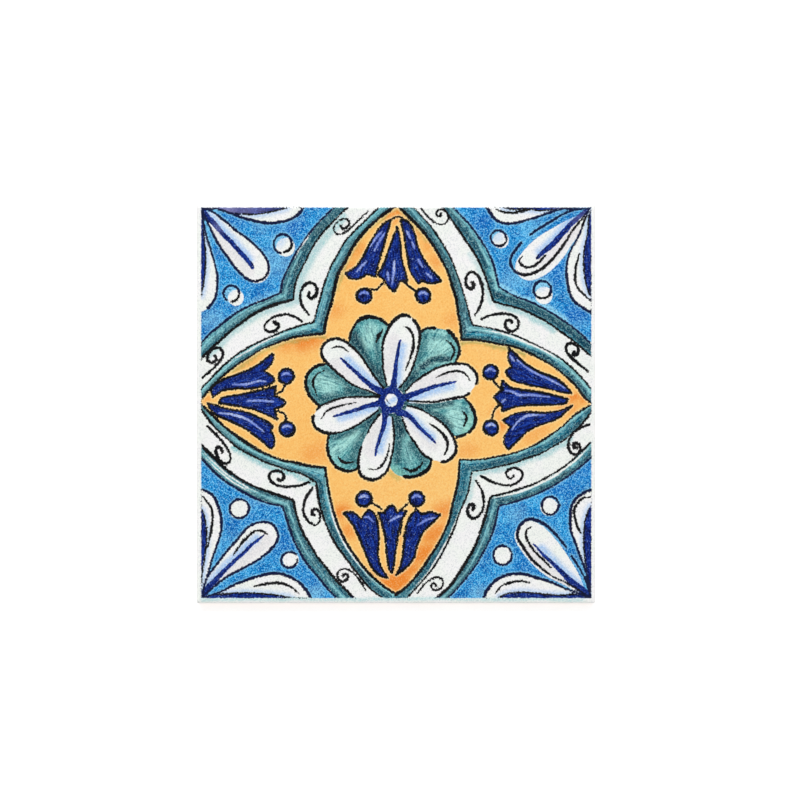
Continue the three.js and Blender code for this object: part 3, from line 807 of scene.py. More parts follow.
def segment_distance(x, y, a, b):
    """How far each place is from the segment from a to b, and the nearest point's share of the way."""
    dx, dy = b - a
    length2 = dx * dx + dy * dy
    if length2 < 1e-12:
        return np.hypot(x - a[0], y - a[1]), np.zeros_like(x)
    along = np.clip(((x - a[0]) * dx + (y - a[1]) * dy) / length2, 0, 1)
    return np.hypot(x - a[0] - along * dx, y - a[1] - along * dy), along


def stroke_depth(x, y, line, half):
    """How deep in a stroke each place lies, where half is half its width at each point of its line."""
    depth = np.full(len(x), -1e9)
    for i in range(len(line) - 1):
        distance, along = segment_distance(x, y, line[i], line[i + 1])
        depth = np.maximum(depth, half[i] + along * (half[i + 1] - half[i]) - distance)
    return depth


def area_depth(x, y, line):
    """How deep each place lies in the area that the line closes around."""
    distance = np.full(len(x), 1e9)
    inside = np.zeros(len(x), bool)
    for a, b in zip(line, np.roll(line, -1, 0)):
        distance = np.minimum(distance, segment_distance(x, y, a, b)[0])
        if a[1] != b[1]:
            inside ^= ((a[1] > y) != (b[1] > y)) & (x < (b[0] - a[0]) * (y - a[1]) / (b[1] - a[1]) + a[0])
    return np.where(inside, distance, -distance)


def paint_depths(places):
    """For each paint, how deep in it each place lies, in millimetres. It is negative outside the paint."""
    x, y = places[:, 0], places[:, 1]
    depths = {}
    for paint, kind, line, half in marks:
        depth = depths.setdefault(paint, np.full(len(places), -REACH))
        near = within(x, y, line, REACH + (half.max() if kind == "stroke" else 0))
        if kind == "stroke":
            mark = stroke_depth(x[near], y[near], line, half)
        else:
            mark = area_depth(x[near], y[near], line)
        if kind == "cut":
            depth[near] = np.minimum(depth[near], -mark)
        else:
            depth[near] = np.maximum(depth[near], mark)
        np.clip(depth, -REACH, REACH, out=depth)
    border = area_depth(x, y, BORDER)
    return {paint: np.minimum(depth, border) for paint, depth in depths.items()}


def tint_strengths(places):
    """For each soft tint, its strength at each place."""
    x, y = places[:, 0], places[:, 1]
    strengths = {}
    for tint, strength, half, fade, line in soft_marks:
        total = strengths.setdefault(tint, np.zeros(len(places)))
        near = within(x, y, line, half + fade)
        path = line[::2] if len(line) > 8 else line
        depth = stroke_depth(x[near], y[near], path, np.full(len(path), half))
        total[near] = np.maximum(total[near], strength * soft_step(depth, -fade, 0))
    inside = soft_step(area_depth(x, y, BORDER), -0.2, 0.2)
    for tint in strengths:
        if tint != "fringe":
            strengths[tint] *= inside
    return strengths


# Which way the brush ran

# Where strokes fan out from: the heart, the lilies' feet and the corners, each with a weight on its distance
FANS = [(HEART, 1.0), ((0, 104), 0.9), ((102, 1), 0.9), ((-2, -101), 0.9), ((-102, 1), 0.9),
        ((-98, 99), 1.1), ((98, 99), 1.1), ((98, -97), 1.1), ((-98, -97), 1.1)]
FAN_WIDTH = 28  # what one radian of a fan counts for across the strokes
BAND_REACH = 5.0  # strokes follow a band up to this far from its middle line
ROSETTE_REACH = 45  # but no closer to the heart than this
QUARTER_SHIFT, RUN_SHIFT = 20, 9  # these keep the streaks of one stretch from going on in the next


def brush_ways(x, y):
    """How far along its brush stroke each place lies, and how far across it, in millimetres."""
    away = np.array([np.hypot(x - cx, y - cy) * weight for (cx, cy), weight in FANS])
    centre = np.array([place for place, _ in FANS])[away.argmin(0)]
    along = np.hypot(x - centre[:, 0], y - centre[:, 1])
    across = np.arctan2(y - centre[:, 1], x - centre[:, 0]) * FAN_WIDTH
    from_heart = np.hypot(x - HEART[0], y - HEART[1])
    best = np.where(from_heart < ROSETTE_REACH, 0.0, BAND_REACH)
    for band in (STAR_BAND, SKY_BAND):
        for quarter in range(4):
            for run in range(2):
                line = band_line(*band, quarter, run, 0.5)[::2]
                near = within(x, y, line, BAND_REACH)
                for i in range(len(line) - 1):
                    distance, share = segment_distance(x[near], y[near], line[i], line[i + 1])
                    closer = distance < best[near]
                    found = near[closer]
                    dx, dy = line[i + 1] - line[i]
                    side = np.sign(dx * (y[found] - line[i][1]) - dy * (x[found] - line[i][0]))
                    best[found] = distance[closer]
                    along[found] = (i + share[closer]) * math.hypot(dx, dy)
                    shift = QUARTER_SHIFT * quarter + RUN_SHIFT * run
                    across[found] = shift + side * distance[closer]
    return along, across


# The face of the mesh, whose points follow the painting

MARK_STEP = 0.85  # from point to point along a mark
OUTSIDE = 0.65  # from a stroke's edge to the row of points outside it
GRID_STEP, GRID_REACH = 1.3, 99
MARK_GAP, GRID_GAP = 0.5, 0.8  # how close two points may lie
CELL = 0.85  # no smaller than the larger gap
INNER_MARGIN, EXTRA_MARGIN = 0.6, 0.4  # how far points stay away from the face's rim
# A longer edge gets a point in its middle where a paint is this uneven along it, and this near its own edge
LONG_EDGE, UNEVEN_PAINT, NEAR_EDGE = 0.75, 0.22, 0.7


def square_ring(inset, radius, per_side=158, per_corner=6):
    """A square with round corners, counter-clockwise from the +X side's lower end."""
    reach = SIDE / 2 - inset - radius
    ring = []
    for corner in range(4):
        turn = corner * math.pi / 2
        out = np.array([math.cos(turn), math.sin(turn)])
        along = np.array([-out[1], out[0]])
        for t in np.linspace(-reach, reach, per_side):
            ring.append(out * (SIDE / 2 - inset) + along * t)
        for step in range(1, per_corner):
            angle = turn + step / per_corner * math.pi / 2
            ring.append((out + along) * reach + radius * np.array([math.cos(angle), math.sin(angle)]))
    return np.array(ring)


def guide_points():
    """Points along every mark, middles before edges, and then a plain grid. Each kind has its least gap."""
    middles, edges, outsides = [], [], []
    for _, kind, line, half in marks:
        length = lengths(line)
        at = np.linspace(0, length[-1], max(3, int(length[-1] / MARK_STEP) + 1))
        path = at_lengths(line, at)
        if kind == "stroke":
            reach = np.interp(at, length, half)
            middles.append(path)
            edges += [side_line(path, reach), side_line(path, -reach)]
            outsides += [side_line(path, reach + OUTSIDE), side_line(path, -reach - OUTSIDE)]
        elif len(line) > 4:
            edges.append(path)
    steps = np.arange(-GRID_REACH, GRID_REACH + 0.1, GRID_STEP)
    grid = np.array([(x + (GRID_STEP / 2 if j % 2 else 0), y) for j, y in enumerate(steps) for x in steps])
    marked = [(np.vstack(points), MARK_GAP) for points in (middles, edges, outsides)]
    return marked + [(grid, GRID_GAP)]


def face_points(reach):
    """The face's points inside the given square, each kept off those before it."""
    cells = {}
    kept = []
    for points, gap in guide_points():
        points = points[(np.abs(points) < reach).all(1)]
        for x, y in points:
            i, j = int(x // CELL), int(y // CELL)
            near = [p for di in (-1, 0, 1) for dj in (-1, 0, 1) for p in cells.get((i + di, j + dj), ())]
            if all((x - p[0]) ** 2 + (y - p[1]) ** 2 >= gap * gap for p in near):
                cells.setdefault((i, j), []).append((x, y))
                kept.append((x, y))
    return np.array(kept)


def triangulate(ring, inner, edges=()):
    """Triangles over the ring's inside. Gives the points, the triangles, and where each given point went."""
    given = np.vstack([ring, inner])
    corners = [Vector(p) for p in given]
    border = list(range(len(ring)))
    inside_only, tolerance, with_origins = 1, 1e-6, True
    points, _, faces, origins, _, _ = delaunay_2d_cdt(
        corners, list(edges), [border], inside_only, tolerance, with_origins)
    place = np.full(len(given), -1)
    for index, origin in enumerate(origins):
        for i in origin:
            place[i] = index
    return np.array([tuple(p) for p in points]), np.array([tuple(f) for f in faces]), place


def extra_points(points, triangles):
    """Middles of the longer edges along which the paints don't run evenly."""
    pairs = np.vstack([triangles[:, [0, 1]], triangles[:, [1, 2]], triangles[:, [2, 0]]])
    pairs = np.unique(np.sort(pairs, 1), axis=0)
    pairs = pairs[np.hypot(*(points[pairs[:, 0]] - points[pairs[:, 1]]).T) > LONG_EDGE]
    middles = (points[pairs[:, 0]] + points[pairs[:, 1]]) / 2
    ends, found = paint_depths(points), paint_depths(middles)
    wrong = np.zeros(len(pairs), bool)
    for paint, depth in found.items():
        even = (ends[paint][pairs[:, 0]] + ends[paint][pairs[:, 1]]) / 2
        nearest = np.minimum(np.abs(even), np.abs(depth))
        wrong |= (np.abs(even - depth) > UNEVEN_PAINT) & (nearest < NEAR_EDGE)
    return middles[wrong]


def face_surface(ring):
    """The flat of the face: its points, its triangles, and where the ring's points went."""
    reach = SIDE / 2 - EDGE_RUN
    inner = face_points(reach - INNER_MARGIN)
    points, triangles, _ = triangulate(ring, inner)
    extra = extra_points(points, triangles)
    extra = extra[(np.abs(extra) < reach - EXTRA_MARGIN).all(1)]
    points, triangles, place = triangulate(ring, np.vstack([inner, extra]))
    return points, triangles, place[:len(ring)]


# The sides of the mesh

GLAZE_END = 2.3  # the height above the back at which the glaze ends, on the average
LOWEST_END, HIGHEST_END = 1.0, 4.2
END_WAVES = (2, 5, 9, 14, 23, 37, 61, 90, 140)  # how many waves its line has around the tile
CLAY_SETBACK = 0.14
# Rows across the end of the glaze: how far above it each lies, and how far in from the side
LIP_ROWS = ((0.5, 0), (0.25, 0), (0.08, 0.03), (-0.08, 0.11), (-0.25, CLAY_SETBACK))
# Rows at the foot: how far in and how high
FOOT_ROWS = ((0.1, BACK_CHAMFER), (0.28, 0.22), (BACK_CHAMFER, 0))


def glaze_line(count):
    """The uneven height at which the glaze ends, all the way around."""
    turn = np.linspace(0, 2 * math.pi, count, endpoint=False)
    waves = np.random.default_rng(5)
    height = np.full(count, GLAZE_END)
    for k in END_WAVES:
        height += waves.uniform(0.25, 0.5) / k ** 0.35 * np.sin(k * turn + waves.uniform(0, 2 * math.pi))
    return np.clip(height, LOWEST_END, HIGHEST_END)


def side_rows(glaze_end):
    """Rings with their heights, from the cushioned edge down to the back."""
    count = len(glaze_end)
    rows = []
    for step in range(1, EDGE_STEPS + 1):
        angle = (1 - step / EDGE_STEPS) * math.pi / 2
        inset = EDGE_RUN * (1 - math.cos(angle))
        radius = CORNER_RADIUS + (FACE_CORNER_RADIUS - CORNER_RADIUS) * inset / EDGE_RUN
        height = THICKNESS - EDGE_DROP * (1 - math.sin(angle))
        rows.append((square_ring(inset, radius), np.full(count, height)))
    top = THICKNESS - EDGE_DROP
    lip = glaze_end + LIP_ROWS[0][0]
    for share in (0.25, 0.5, 0.75):
        rows.append((square_ring(0, CORNER_RADIUS), top + (lip - top) * share))
    for above, inset in LIP_ROWS:
        rows.append((square_ring(inset, CORNER_RADIUS), np.maximum(glaze_end + above, BACK_CHAMFER + 0.1)))
    rows.append((square_ring(CLAY_SETBACK, CORNER_RADIUS), (glaze_end + BACK_CHAMFER) / 2 - 0.1))
    for inset, height in FOOT_ROWS:
        rows.append((square_ring(inset, CORNER_RADIUS), np.full(count, float(height))))
    return rows


# The back of the mesh, with its key grooves

KEY_PITCH = KEY_WIDTH + KEY_RIB
KEY_GAPS = int((SIDE - 2 * KEY_MARGIN - KEY_WIDTH) // KEY_PITCH)
KEY_CENTRES = (np.arange(KEY_GAPS + 1) - KEY_GAPS / 2) * KEY_PITCH
KEY_REACH = SIDE / 2 - KEY_MARGIN - KEY_WIDTH / 2  # to the middle of a groove's round end
KEY_SIDE_POINTS, KEY_END_POINTS, KEY_FLOOR_POINTS = 76, 13, 60
KEY_FLOOR_ROWS = (-1.6, 0, 1.6)
LAND_STEP, LAND_REACH, LAND_MARGIN = 3.0, 97.5, 0.7


def groove_outline(centre, radius):
    along = np.linspace(-KEY_REACH, KEY_REACH, KEY_SIDE_POINTS)
    bend = np.linspace(-math.pi / 2, math.pi / 2, KEY_END_POINTS)[1:-1]
    outline = [(t, -radius) for t in along]
    outline += [(KEY_REACH + radius * math.cos(a), radius * math.sin(a)) for a in bend]
    outline += [(-t, radius) for t in along]
    outline += [(-KEY_REACH - radius * math.cos(a), -radius * math.sin(a)) for a in bend]
    return np.array(outline) + (0, centre)


def land_points():
    """A plain grid on the lands between and around the grooves."""
    steps = np.arange(-LAND_REACH, LAND_REACH + 0.1, LAND_STEP)
    land = np.array([(x, y) for x in steps for y in steps])
    off = np.abs(land[:, 1][:, None] - KEY_CENTRES).min(1)
    beyond = np.abs(land[:, 0]) > SIDE / 2 - KEY_MARGIN + LAND_MARGIN
    return land[(off > KEY_WIDTH / 2 + LAND_MARGIN) | beyond]


def back_points(start):
    """The back's points inside its ring, their heights, and the grooves' edges, numbered from start."""
    pieces, heights, edges = [], [], []
    for centre in KEY_CENTRES:
        for depth, radius in ((0.0, KEY_WIDTH / 2), (KEY_DEPTH, KEY_WIDTH / 2 - KEY_DRAFT)):
            outline = groove_outline(centre, radius)
            count = len(outline)
            pieces.append(outline)
            heights.append(np.full(count, depth))
            edges += [(start + i, start + (i + 1) % count) for i in range(count)]
            start += count
        along = np.linspace(-KEY_REACH, KEY_REACH, KEY_FLOOR_POINTS)
        floor = np.array([(t, centre + s) for t in along for s in KEY_FLOOR_ROWS])
        pieces.append(floor)
        heights.append(np.full(len(floor), KEY_DEPTH))
        start += len(floor)
    land = land_points()
    pieces.append(land)
    heights.append(np.zeros(len(land)))
    return np.vstack(pieces), np.concatenate(heights), edges


def ripple(x, y, seed, wave_lengths, height):
    """A soft, uneven surface made of a few waves."""
    waves = np.random.default_rng(seed)
    total = np.zeros_like(x)
    for length in wave_lengths:
        turn, phase = waves.uniform(0, 2 * math.pi, 2)
        total += np.sin((x * math.cos(turn) + y * math.sin(turn)) * 2 * math.pi / length + phase)
    return total * height / len(wave_lengths)


def back_surface(ring, rim, start):
    """The back's own points, numbered from start, and its triangles. The rim numbers the ring's points."""
    inner, heights, edges = back_points(len(ring))
    points, triangles, place = triangulate(ring, inner, edges)
    z = np.zeros(len(points))
    z[place] = np.concatenate([np.zeros(len(ring)), heights])
    own = np.ones(len(points), bool)
    own[place[:len(ring)]] = False
    number = np.where(own, np.cumsum(own) - 1 + start, 0)
    number[place[:len(ring)]] = rim
    x, y = points[own].T
    z = z[own]
    z += np.where(z > 0.1, 1, 0) * ripple(x, y, 8, (7, 9, 13, 21, 34), 0.05)
    return np.column_stack([x, y, z]), number[triangles][:, ::-1]


# The whole mesh

INK_LIFT, PAINT_LIFT = 0.035, 0.016  # how far ink and paint stand above the white glaze
SWELL = 0.05  # how far the face rises and falls
SWELL_FADE = 5  # the relief fades in over this much of the face's rim
# Painted shade on the rim: grey mixed into the white glaze, strongest on the cushioned edge's outermost row
# and fading over this many rows above and below it
EDGE_SHADE_ROWS = 3


def glaze_lift(x, y, depths):
    """How far the glaze stands above the level face: thicker over the paint, and nowhere quite level."""
    lift = INK_LIFT * soft_step(depths["ink"], -0.5, 0.5)
    for paint in ("navy", "teal", "outer_teal", "sky", "orange"):
        lift = np.maximum(lift, PAINT_LIFT * soft_step(depths[paint], -0.4, 0.4))
    lift += ripple(x, y, 3, (31, 37, 46, 58, 71), SWELL) - SWELL
    inward = (SIDE / 2 - EDGE_RUN - np.maximum(np.abs(x), np.abs(y))) / SWELL_FADE
    return soft_step(inward, 0, 1) * lift


def build_tile():
    face_ring = square_ring(EDGE_RUN, FACE_CORNER_RADIUS)
    face, face_triangles, face_rim = face_surface(face_ring)
    count = len(face_ring)
    glaze_end = glaze_line(count)
    rows = side_rows(glaze_end)

    points = [np.column_stack([face, np.full(len(face), THICKNESS)])]
    bare = [np.full(len(face), -REACH)]
    painted_edge_shade = [np.zeros(len(face))]
    rims = [face_rim]
    total = len(face)
    for number, (ring, z) in enumerate(rows, 1):
        points.append(np.column_stack([ring, z]))
        bare.append(np.clip(glaze_end - z, -REACH, REACH))
        # how strongly the painted shade greys the glaze on each ring
        painted_edge_shade.append(np.full(count, max(0, 1 - abs(number - EDGE_STEPS) / EDGE_SHADE_ROWS)))
        rims.append(np.arange(total, total + count))
        total += count
    back, back_triangles = back_surface(rows[-1][0], rims[-1], total)
    points = np.vstack(points + [back])
    bare = np.concatenate(bare + [np.full(len(back), REACH)])
    painted_edge_shade = np.concatenate(painted_edge_shade + [np.zeros(len(back))])

    # The paint reaches over the cushioned edge and no further
    x, y = points[:, 0], points[:, 1]
    depths = paint_depths(points[:, :2])
    unpainted = bare > -REACH + 0.01
    unpainted[np.concatenate(rims[1:EDGE_STEPS + 1])] = False
    for depth in depths.values():
        depth[unpainted] = -REACH
    points[:len(face), 2] += glaze_lift(x, y, depths)[:len(face)]

    faces = [face_triangles]
    for above, below in zip(rims, rims[1:]):
        a, b = above, np.roll(above, -1)
        c, d = below, np.roll(below, -1)
        faces.append(np.column_stack([a, c, d]))
        faces.append(np.column_stack([a, d, b]))
    faces = np.vstack(faces + [back_triangles])

    mesh = bpy.data.meshes.new("tile_skin")
    mesh.from_pydata((points * MM).tolist(), [], faces.tolist())
    mesh.shade_smooth()
    along, across = brush_ways(x, y)
    ways = {"bare": bare, "painted_edge_shade": painted_edge_shade, "along": along, "across": across}
    for name, value in {**depths, **tint_strengths(points[:, :2]), **ways}.items():
        mesh.attributes.new(name, "FLOAT", "POINT").data.foreach_set("value", value.astype(np.float32))
    add_map(mesh, points, faces, len(face_triangles) + 2 * count * EDGE_STEPS, len(back_triangles))
    mesh.validate()
    tile = bpy.data.objects.new("tile_skin", mesh)
    bpy.context.collection.objects.link(tile)
    return tile


# The flat map: the face at the lower left, the back beside it and the four sides above

MAP_MARGIN = 0.01
FACE_SIZE, BACK_SIZE = 0.76, 0.21
BACK_LEFT, SIDES_BOTTOM, SIDE_PITCH = 0.78, 0.80, 0.045


def add_map(mesh, points, faces, face_count, back_count):
    """Lays the face, the back and the four sides out flat beside one another."""
    corners = points[faces]
    flat = corners[:, :, :2].copy()
    uv = np.empty_like(flat)
    uv[:face_count] = MAP_MARGIN + (flat[:face_count] / SIDE + 0.5) * FACE_SIZE
    back = slice(len(faces) - back_count, len(faces))
    uv[back] = (flat[back] * (-1, 1) / SIDE + 0.5) * BACK_SIZE + (BACK_LEFT, MAP_MARGIN)
    sides = np.arange(face_count, len(faces) - back_count)
    middle = corners[sides].mean(1)
    right_left = np.abs(middle[:, 0]) > np.abs(middle[:, 1])
    strip = np.where(right_left, np.where(middle[:, 0] > 0, 0, 1), np.where(middle[:, 1] > 0, 2, 3))
    along = np.where(right_left[:, None], corners[sides][:, :, 1], corners[sides][:, :, 0])
    uv[sides, :, 0] = MAP_MARGIN + (along / SIDE + 0.5) * FACE_SIZE
    uv[sides, :, 1] = SIDES_BOTTOM + strip[:, None] * SIDE_PITCH + corners[sides][:, :, 2] / SIDE * FACE_SIZE
    layer = mesh.uv_layers.new(name="OFBake")
    layer.data.foreach_set("uv", uv.reshape(-1).astype(np.float32))


# Materials

def colour(red, green, blue):
    """A screen colour, 0 to 255, as the shader's own linear one."""
    linear = []
    for level in (red, green, blue):
        share = level / 255
        linear.append(share / 12.92 if level <= 10 else ((share + 0.055) / 1.055) ** 2.4)
    return (*linear, 1)


class Sketch:
    """Short names for the nodes of one material."""

    def __init__(self, name):
        self.material = bpy.data.materials.new(name)
        self.material.use_nodes = True
        self.tree = self.material.node_tree
        self.tree.nodes.clear()
        self.place = self.scaled_place()

    def node(self, kind, **settings):
        node = self.tree.nodes.new(kind)
        for key, value in settings.items():
            setattr(node, key, value)
        return node

    def put(self, socket, value):
        if isinstance(value, bpy.types.NodeSocket):
            self.tree.links.new(value, socket)
        else:
            socket.default_value = value

    def scaled_place(self):
        """Where a point lies on the tile, in millimetres."""
        scale = self.node("ShaderNodeVectorMath", operation="SCALE")
        self.put(scale.inputs[0], self.node("ShaderNodeTexCoord").outputs["Object"])
        self.put(scale.inputs["Scale"], 1 / MM)
        return scale.outputs[0]

    def depth(self, name):
        """A paint's depth or a tint's strength, which the mesh holds at its points."""
        return self.node("ShaderNodeAttribute", attribute_name=name).outputs["Fac"]

    def noise_at(self, where, scale, detail):
        node = self.node("ShaderNodeTexNoise")
        self.put(node.inputs["Vector"], where)
        self.put(node.inputs["Scale"], scale)
        self.put(node.inputs["Detail"], detail)
        return node.outputs["Fac"]

    def noise(self, size, detail=2.0, shift=0.0):
        """Noise whose grains are about this many millimetres across."""
        where = self.place
        if shift:
            move = self.node("ShaderNodeMapping")
            self.put(move.inputs["Vector"], where)
            self.put(move.inputs["Location"], (shift, shift * 0.7, shift * 0.3))
            where = move.outputs[0]
        return self.noise_at(where, 1 / size, detail)

    def streaks(self, length, width, shift=0.0):
        """Noise drawn out along the brush strokes."""
        where = self.node("ShaderNodeCombineXYZ")
        self.put(where.inputs[0], self.times(self.depth("along"), 1 / length))
        self.put(where.inputs[1], self.times(self.depth("across"), 1 / width))
        self.put(where.inputs[2], shift)
        return self.noise_at(where.outputs[0], 1.0, 2.0)

    def math(self, operation, a, b, clamp=False):
        node = self.node("ShaderNodeMath", operation=operation, use_clamp=clamp)
        self.put(node.inputs[0], a)
        self.put(node.inputs[1], b)
        return node.outputs[0]

    def times(self, a, b, clamp=False):
        return self.math("MULTIPLY", a, b, clamp)

    def plus(self, a, b, clamp=False):
        return self.math("ADD", a, b, clamp)

    def ramp(self, value, start, end, low=0.0, high=1.0):
        """A smooth rise from low to high while the value goes from start to end."""
        node = self.node("ShaderNodeMapRange", interpolation_type="SMOOTHSTEP")
        sockets = ("Value", "From Min", "From Max", "To Min", "To Max")
        for socket, given in zip(sockets, (value, start, end, low, high)):
            self.put(node.inputs[socket], given)
        return node.outputs["Result"]

    def mix(self, share, a, b):
        node = self.node("ShaderNodeMix", data_type="RGBA")
        self.put(node.inputs[0], share)
        self.put(node.inputs[6], a)
        self.put(node.inputs[7], b)
        return node.outputs[2]

    def finish(self, **settings):
        """Ends the material in one surface shader with these settings."""
        shader = self.node("ShaderNodeBsdfPrincipled")
        for name, value in settings.items():
            self.put(shader.inputs[name.replace("_", " ")], value)
        self.put(self.node("ShaderNodeOutputMaterial").inputs["Surface"], shader.outputs[0])
        return self.material


class Glaze(Sketch):
    """The painted glaze, with the noises that its colours share."""

    def __init__(self, name):
        super().__init__(name)
        self.fine = self.math("SUBTRACT", self.noise(0.7), 0.5)
        self.speck = self.noise(0.5, 1, 61)
        self.grain = self.noise(0.56, 2, 40)
        self.broad = self.noise(9, 3, 11)
        self.streak = self.streaks(5.0, 0.8)
        self.thread = self.streaks(16.0, 0.62, 4.3)

    def mask(self, name, rough=0.5, soft=0.14):
        """Where a paint covers the tile, with an edge that is rough and a little soft."""
        return self.ramp(self.plus(self.depth(name), self.times(self.fine, rough)), -soft, soft)

    def speckled(self, base, lighter, darker, amount):
        """Scatters fine light and dark grains over a colour."""
        base = self.mix(self.times(self.ramp(self.speck, 0.54, 0.64), amount), base, lighter)
        return self.mix(self.times(self.ramp(self.speck, 0.46, 0.36), amount), base, darker)

    def tones(self, dark, middle, light, spread=0.14, by=None, grainy=0.62):
        """Three tones of a paint, chosen by a noise and by the grain."""
        by = self.broad if by is None else by
        value = self.plus(self.times(self.grain, grainy), self.times(by, 1 - grainy))
        shade = self.mix(self.ramp(value, 0.5 - spread, 0.5), dark, middle)
        return self.mix(self.ramp(value, 0.5, 0.5 + spread), shade, light)

    def tint(self, name, base, other, most=1.0, grainy=0.8, by=None):
        """Mixes the other colour in by the tint's strength, broken up by the grain."""
        by = self.grain if by is None else by
        strength = self.depth(name)
        broken = self.times(self.math("SUBTRACT", by, 0.5), self.times(strength, grainy * 2))
        return self.mix(self.times(self.plus(strength, broken), most, True), base, other)


def white_glaze(g):
    white = g.mix(g.ramp(g.broad, 0.35, 0.65), colour(243, 247, 241), colour(248, 247, 247))
    white = g.tint("blush", white, colour(226, 220, 224), 0.6)
    white = g.tint("wash", white, colour(132, 188, 246), 0.8)
    white = g.tint("bleed", white, colour(120, 196, 200), 0.85)
    white = g.tint("fringe", white, colour(186, 226, 226), 0.8, 1.6)
    white = g.speckled(white, colour(255, 255, 253), colour(198, 204, 208), 0.5)
    # Painted shade: the rim of the tile is greyed where its rounded edge turns away from the light
    return g.mix(g.times(g.depth("painted_edge_shade"), 0.85), white, colour(176, 178, 178))


def sky_blue(g):
    sky = g.tones(colour(0, 90, 170), colour(4, 136, 214), colour(62, 182, 242), 0.1)
    sky = g.tint("dusk", sky, colour(0, 92, 196), 0.7)
    sky = g.tint("mist", sky, colour(150, 218, 246), 0.8)
    return g.speckled(sky, colour(142, 216, 248), colour(0, 72, 146), 0.8)


def orange_yellow(g):
    broader = g.noise(34, 2, 23)
    orange = g.tones(colour(252, 186, 96), colour(255, 197, 110), colour(255, 207, 130), 0.2, broader)
    orange = g.tint("rust", orange, colour(240, 130, 34), 0.85, 0.5)
    orange = g.tint("olive", orange, colour(140, 158, 84), 0.85)
    return g.speckled(orange, colour(255, 222, 150), colour(234, 160, 80), 0.4)


def streaky_teal(g, brushed, shift, grainy, tones, pale, deep, most):
    soft = g.plus(g.times(g.noise(7, 3, shift), 0.3), g.times(brushed, 0.7))
    teal = g.tones(*tones, 0.085, soft, grainy)
    teal = g.tint("pale", teal, pale, most, 1.8, brushed)
    teal = g.tint("deep", teal, deep, 0.9, 1.0, brushed)
    return g.speckled(teal, colour(186, 234, 234), colour(4, 50, 68), 0.4)


def band_teal(g):
    brushed = g.plus(g.times(g.thread, 0.85), g.times(g.streak, 0.15))
    tones = (colour(0, 58, 86), colour(10, 114, 146), colour(76, 176, 198))
    return streaky_teal(g, brushed, 19, 0.2, tones, colour(150, 216, 220), colour(0, 42, 62), 0.85)


def petal_teal(g):
    tones = (colour(30, 102, 118), colour(74, 154, 160), colour(128, 200, 198))
    teal = streaky_teal(g, g.streak, 5, 0.35, tones, colour(176, 232, 224), colour(4, 54, 70), 0.95)
    return g.tint("mint", teal, colour(150, 216, 190), 0.8)


def navy_blue(g):
    navy = g.tones(colour(1, 8, 58), colour(3, 26, 112), colour(24, 62, 162), 0.09, g.streak, 0.4)
    navy = g.tint("violet", navy, colour(138, 136, 186), 0.85)
    navy = g.speckled(navy, colour(84, 122, 208), colour(1, 5, 44), 0.25)
    return g.mix(g.times(g.ramp(g.speck, 0.69, 0.73), 0.7), navy, colour(164, 188, 240))


def dark_ink(g):
    """Near black, and bluer where it lies on the sky."""
    ink = g.tones(colour(1, 1, 3), colour(4, 6, 10), colour(40, 38, 40), 0.16)
    bluish = g.times(g.ramp(g.depth("sky"), -1.6, -0.3), 0.5)
    return g.mix(bluish, ink, colour(8, 28, 84))


def fired_clay(g):
    clay = g.mix(g.ramp(g.noise(2.2, 4, 7), 0.3, 0.7), colour(206, 170, 142), colour(226, 198, 172))
    return g.mix(g.ramp(g.noise(0.5, 2, 17), 0.62, 0.78), clay, colour(176, 138, 112))


# The petals' teal gives way to the bands' teal between these distances from the heart
PETAL_TEAL_END, BAND_TEAL_START = 45.1, 45.7


def painting(g):
    """All the paints over the white glaze. Sky, orange and teal are paler right beside the ink."""
    bands = band_teal(g)
    from_heart = g.node("ShaderNodeVectorMath", operation="DISTANCE")
    g.put(from_heart.inputs[0], g.place)
    g.put(from_heart.inputs[1], (*HEART, THICKNESS))
    teal = g.mix(g.ramp(from_heart.outputs["Value"], PETAL_TEAL_END, BAND_TEAL_START), petal_teal(g), bands)
    halo = g.ramp(g.depth("ink"), -1.0, -0.2)
    base = white_glaze(g)
    for name, paint, pale, share in (("sky", sky_blue(g), colour(140, 210, 246), 0.5),
                                     ("orange", orange_yellow(g), colour(255, 228, 164), 0.6),
                                     ("outer_teal", bands, colour(110, 176, 186), 0.2),
                                     ("teal", teal, colour(120, 184, 188), 0.2)):
        rimmed = g.mix(g.times(halo, share), paint, pale)
        base = g.mix(g.mask(name, 0.9, 0.25), base, rimmed)
    base = g.mix(g.mask("navy", 1.4), base, navy_blue(g))
    glint = g.tones(colour(84, 108, 204), colour(136, 158, 232), colour(206, 220, 252))
    base = g.mix(g.times(g.mask("glint", 1.2, 0.35), 0.9), base, glint)
    return g.mix(g.mask("ink", 1.9), base, dark_ink(g))


def glazed_tile():
    g = Glaze("painted_glaze")
    bare = g.ramp(g.plus(g.depth("bare"), g.times(g.fine, 0.5)), -0.06, 0.06)
    base = g.mix(bare, painting(g), fired_clay(g))
    rough = g.plus(g.ramp(g.noise(14, 2, 31), 0.3, 0.7, 0.10, 0.17), g.times(g.mask("ink"), 0.12))
    rough = g.plus(rough, g.times(bare, 0.7), True)
    height = g.plus(g.times(g.noise(5, 2, 3), 0.02), g.times(g.noise(0.5, 3, 9), 0.002))
    height = g.plus(height, g.times(g.times(bare, g.noise(0.6, 4, 13)), 0.25))
    bump = g.node("ShaderNodeBump")
    g.put(bump.inputs["Strength"], 1.0)
    g.put(bump.inputs["Distance"], MM)
    g.put(bump.inputs["Height"], height)
    return g.finish(Base_Color=base, Roughness=rough, Normal=bump.outputs[0])


def floor_material():
    s = Sketch("floor_white")
    tint = s.mix(s.ramp(s.noise(300), 0.3, 0.7), (0.86, 0.86, 0.86, 1), (0.88, 0.88, 0.88, 1))
    return s.finish(Base_Color=tint, Roughness=1.0, Specular_IOR_Level=0.0, Emission_Color=(1, 1, 1, 1),
                    Emission_Strength=0.45)


# The tile and the floor under it

FLOOR_SIZE, FLOOR_DROP = 8, 0.0002

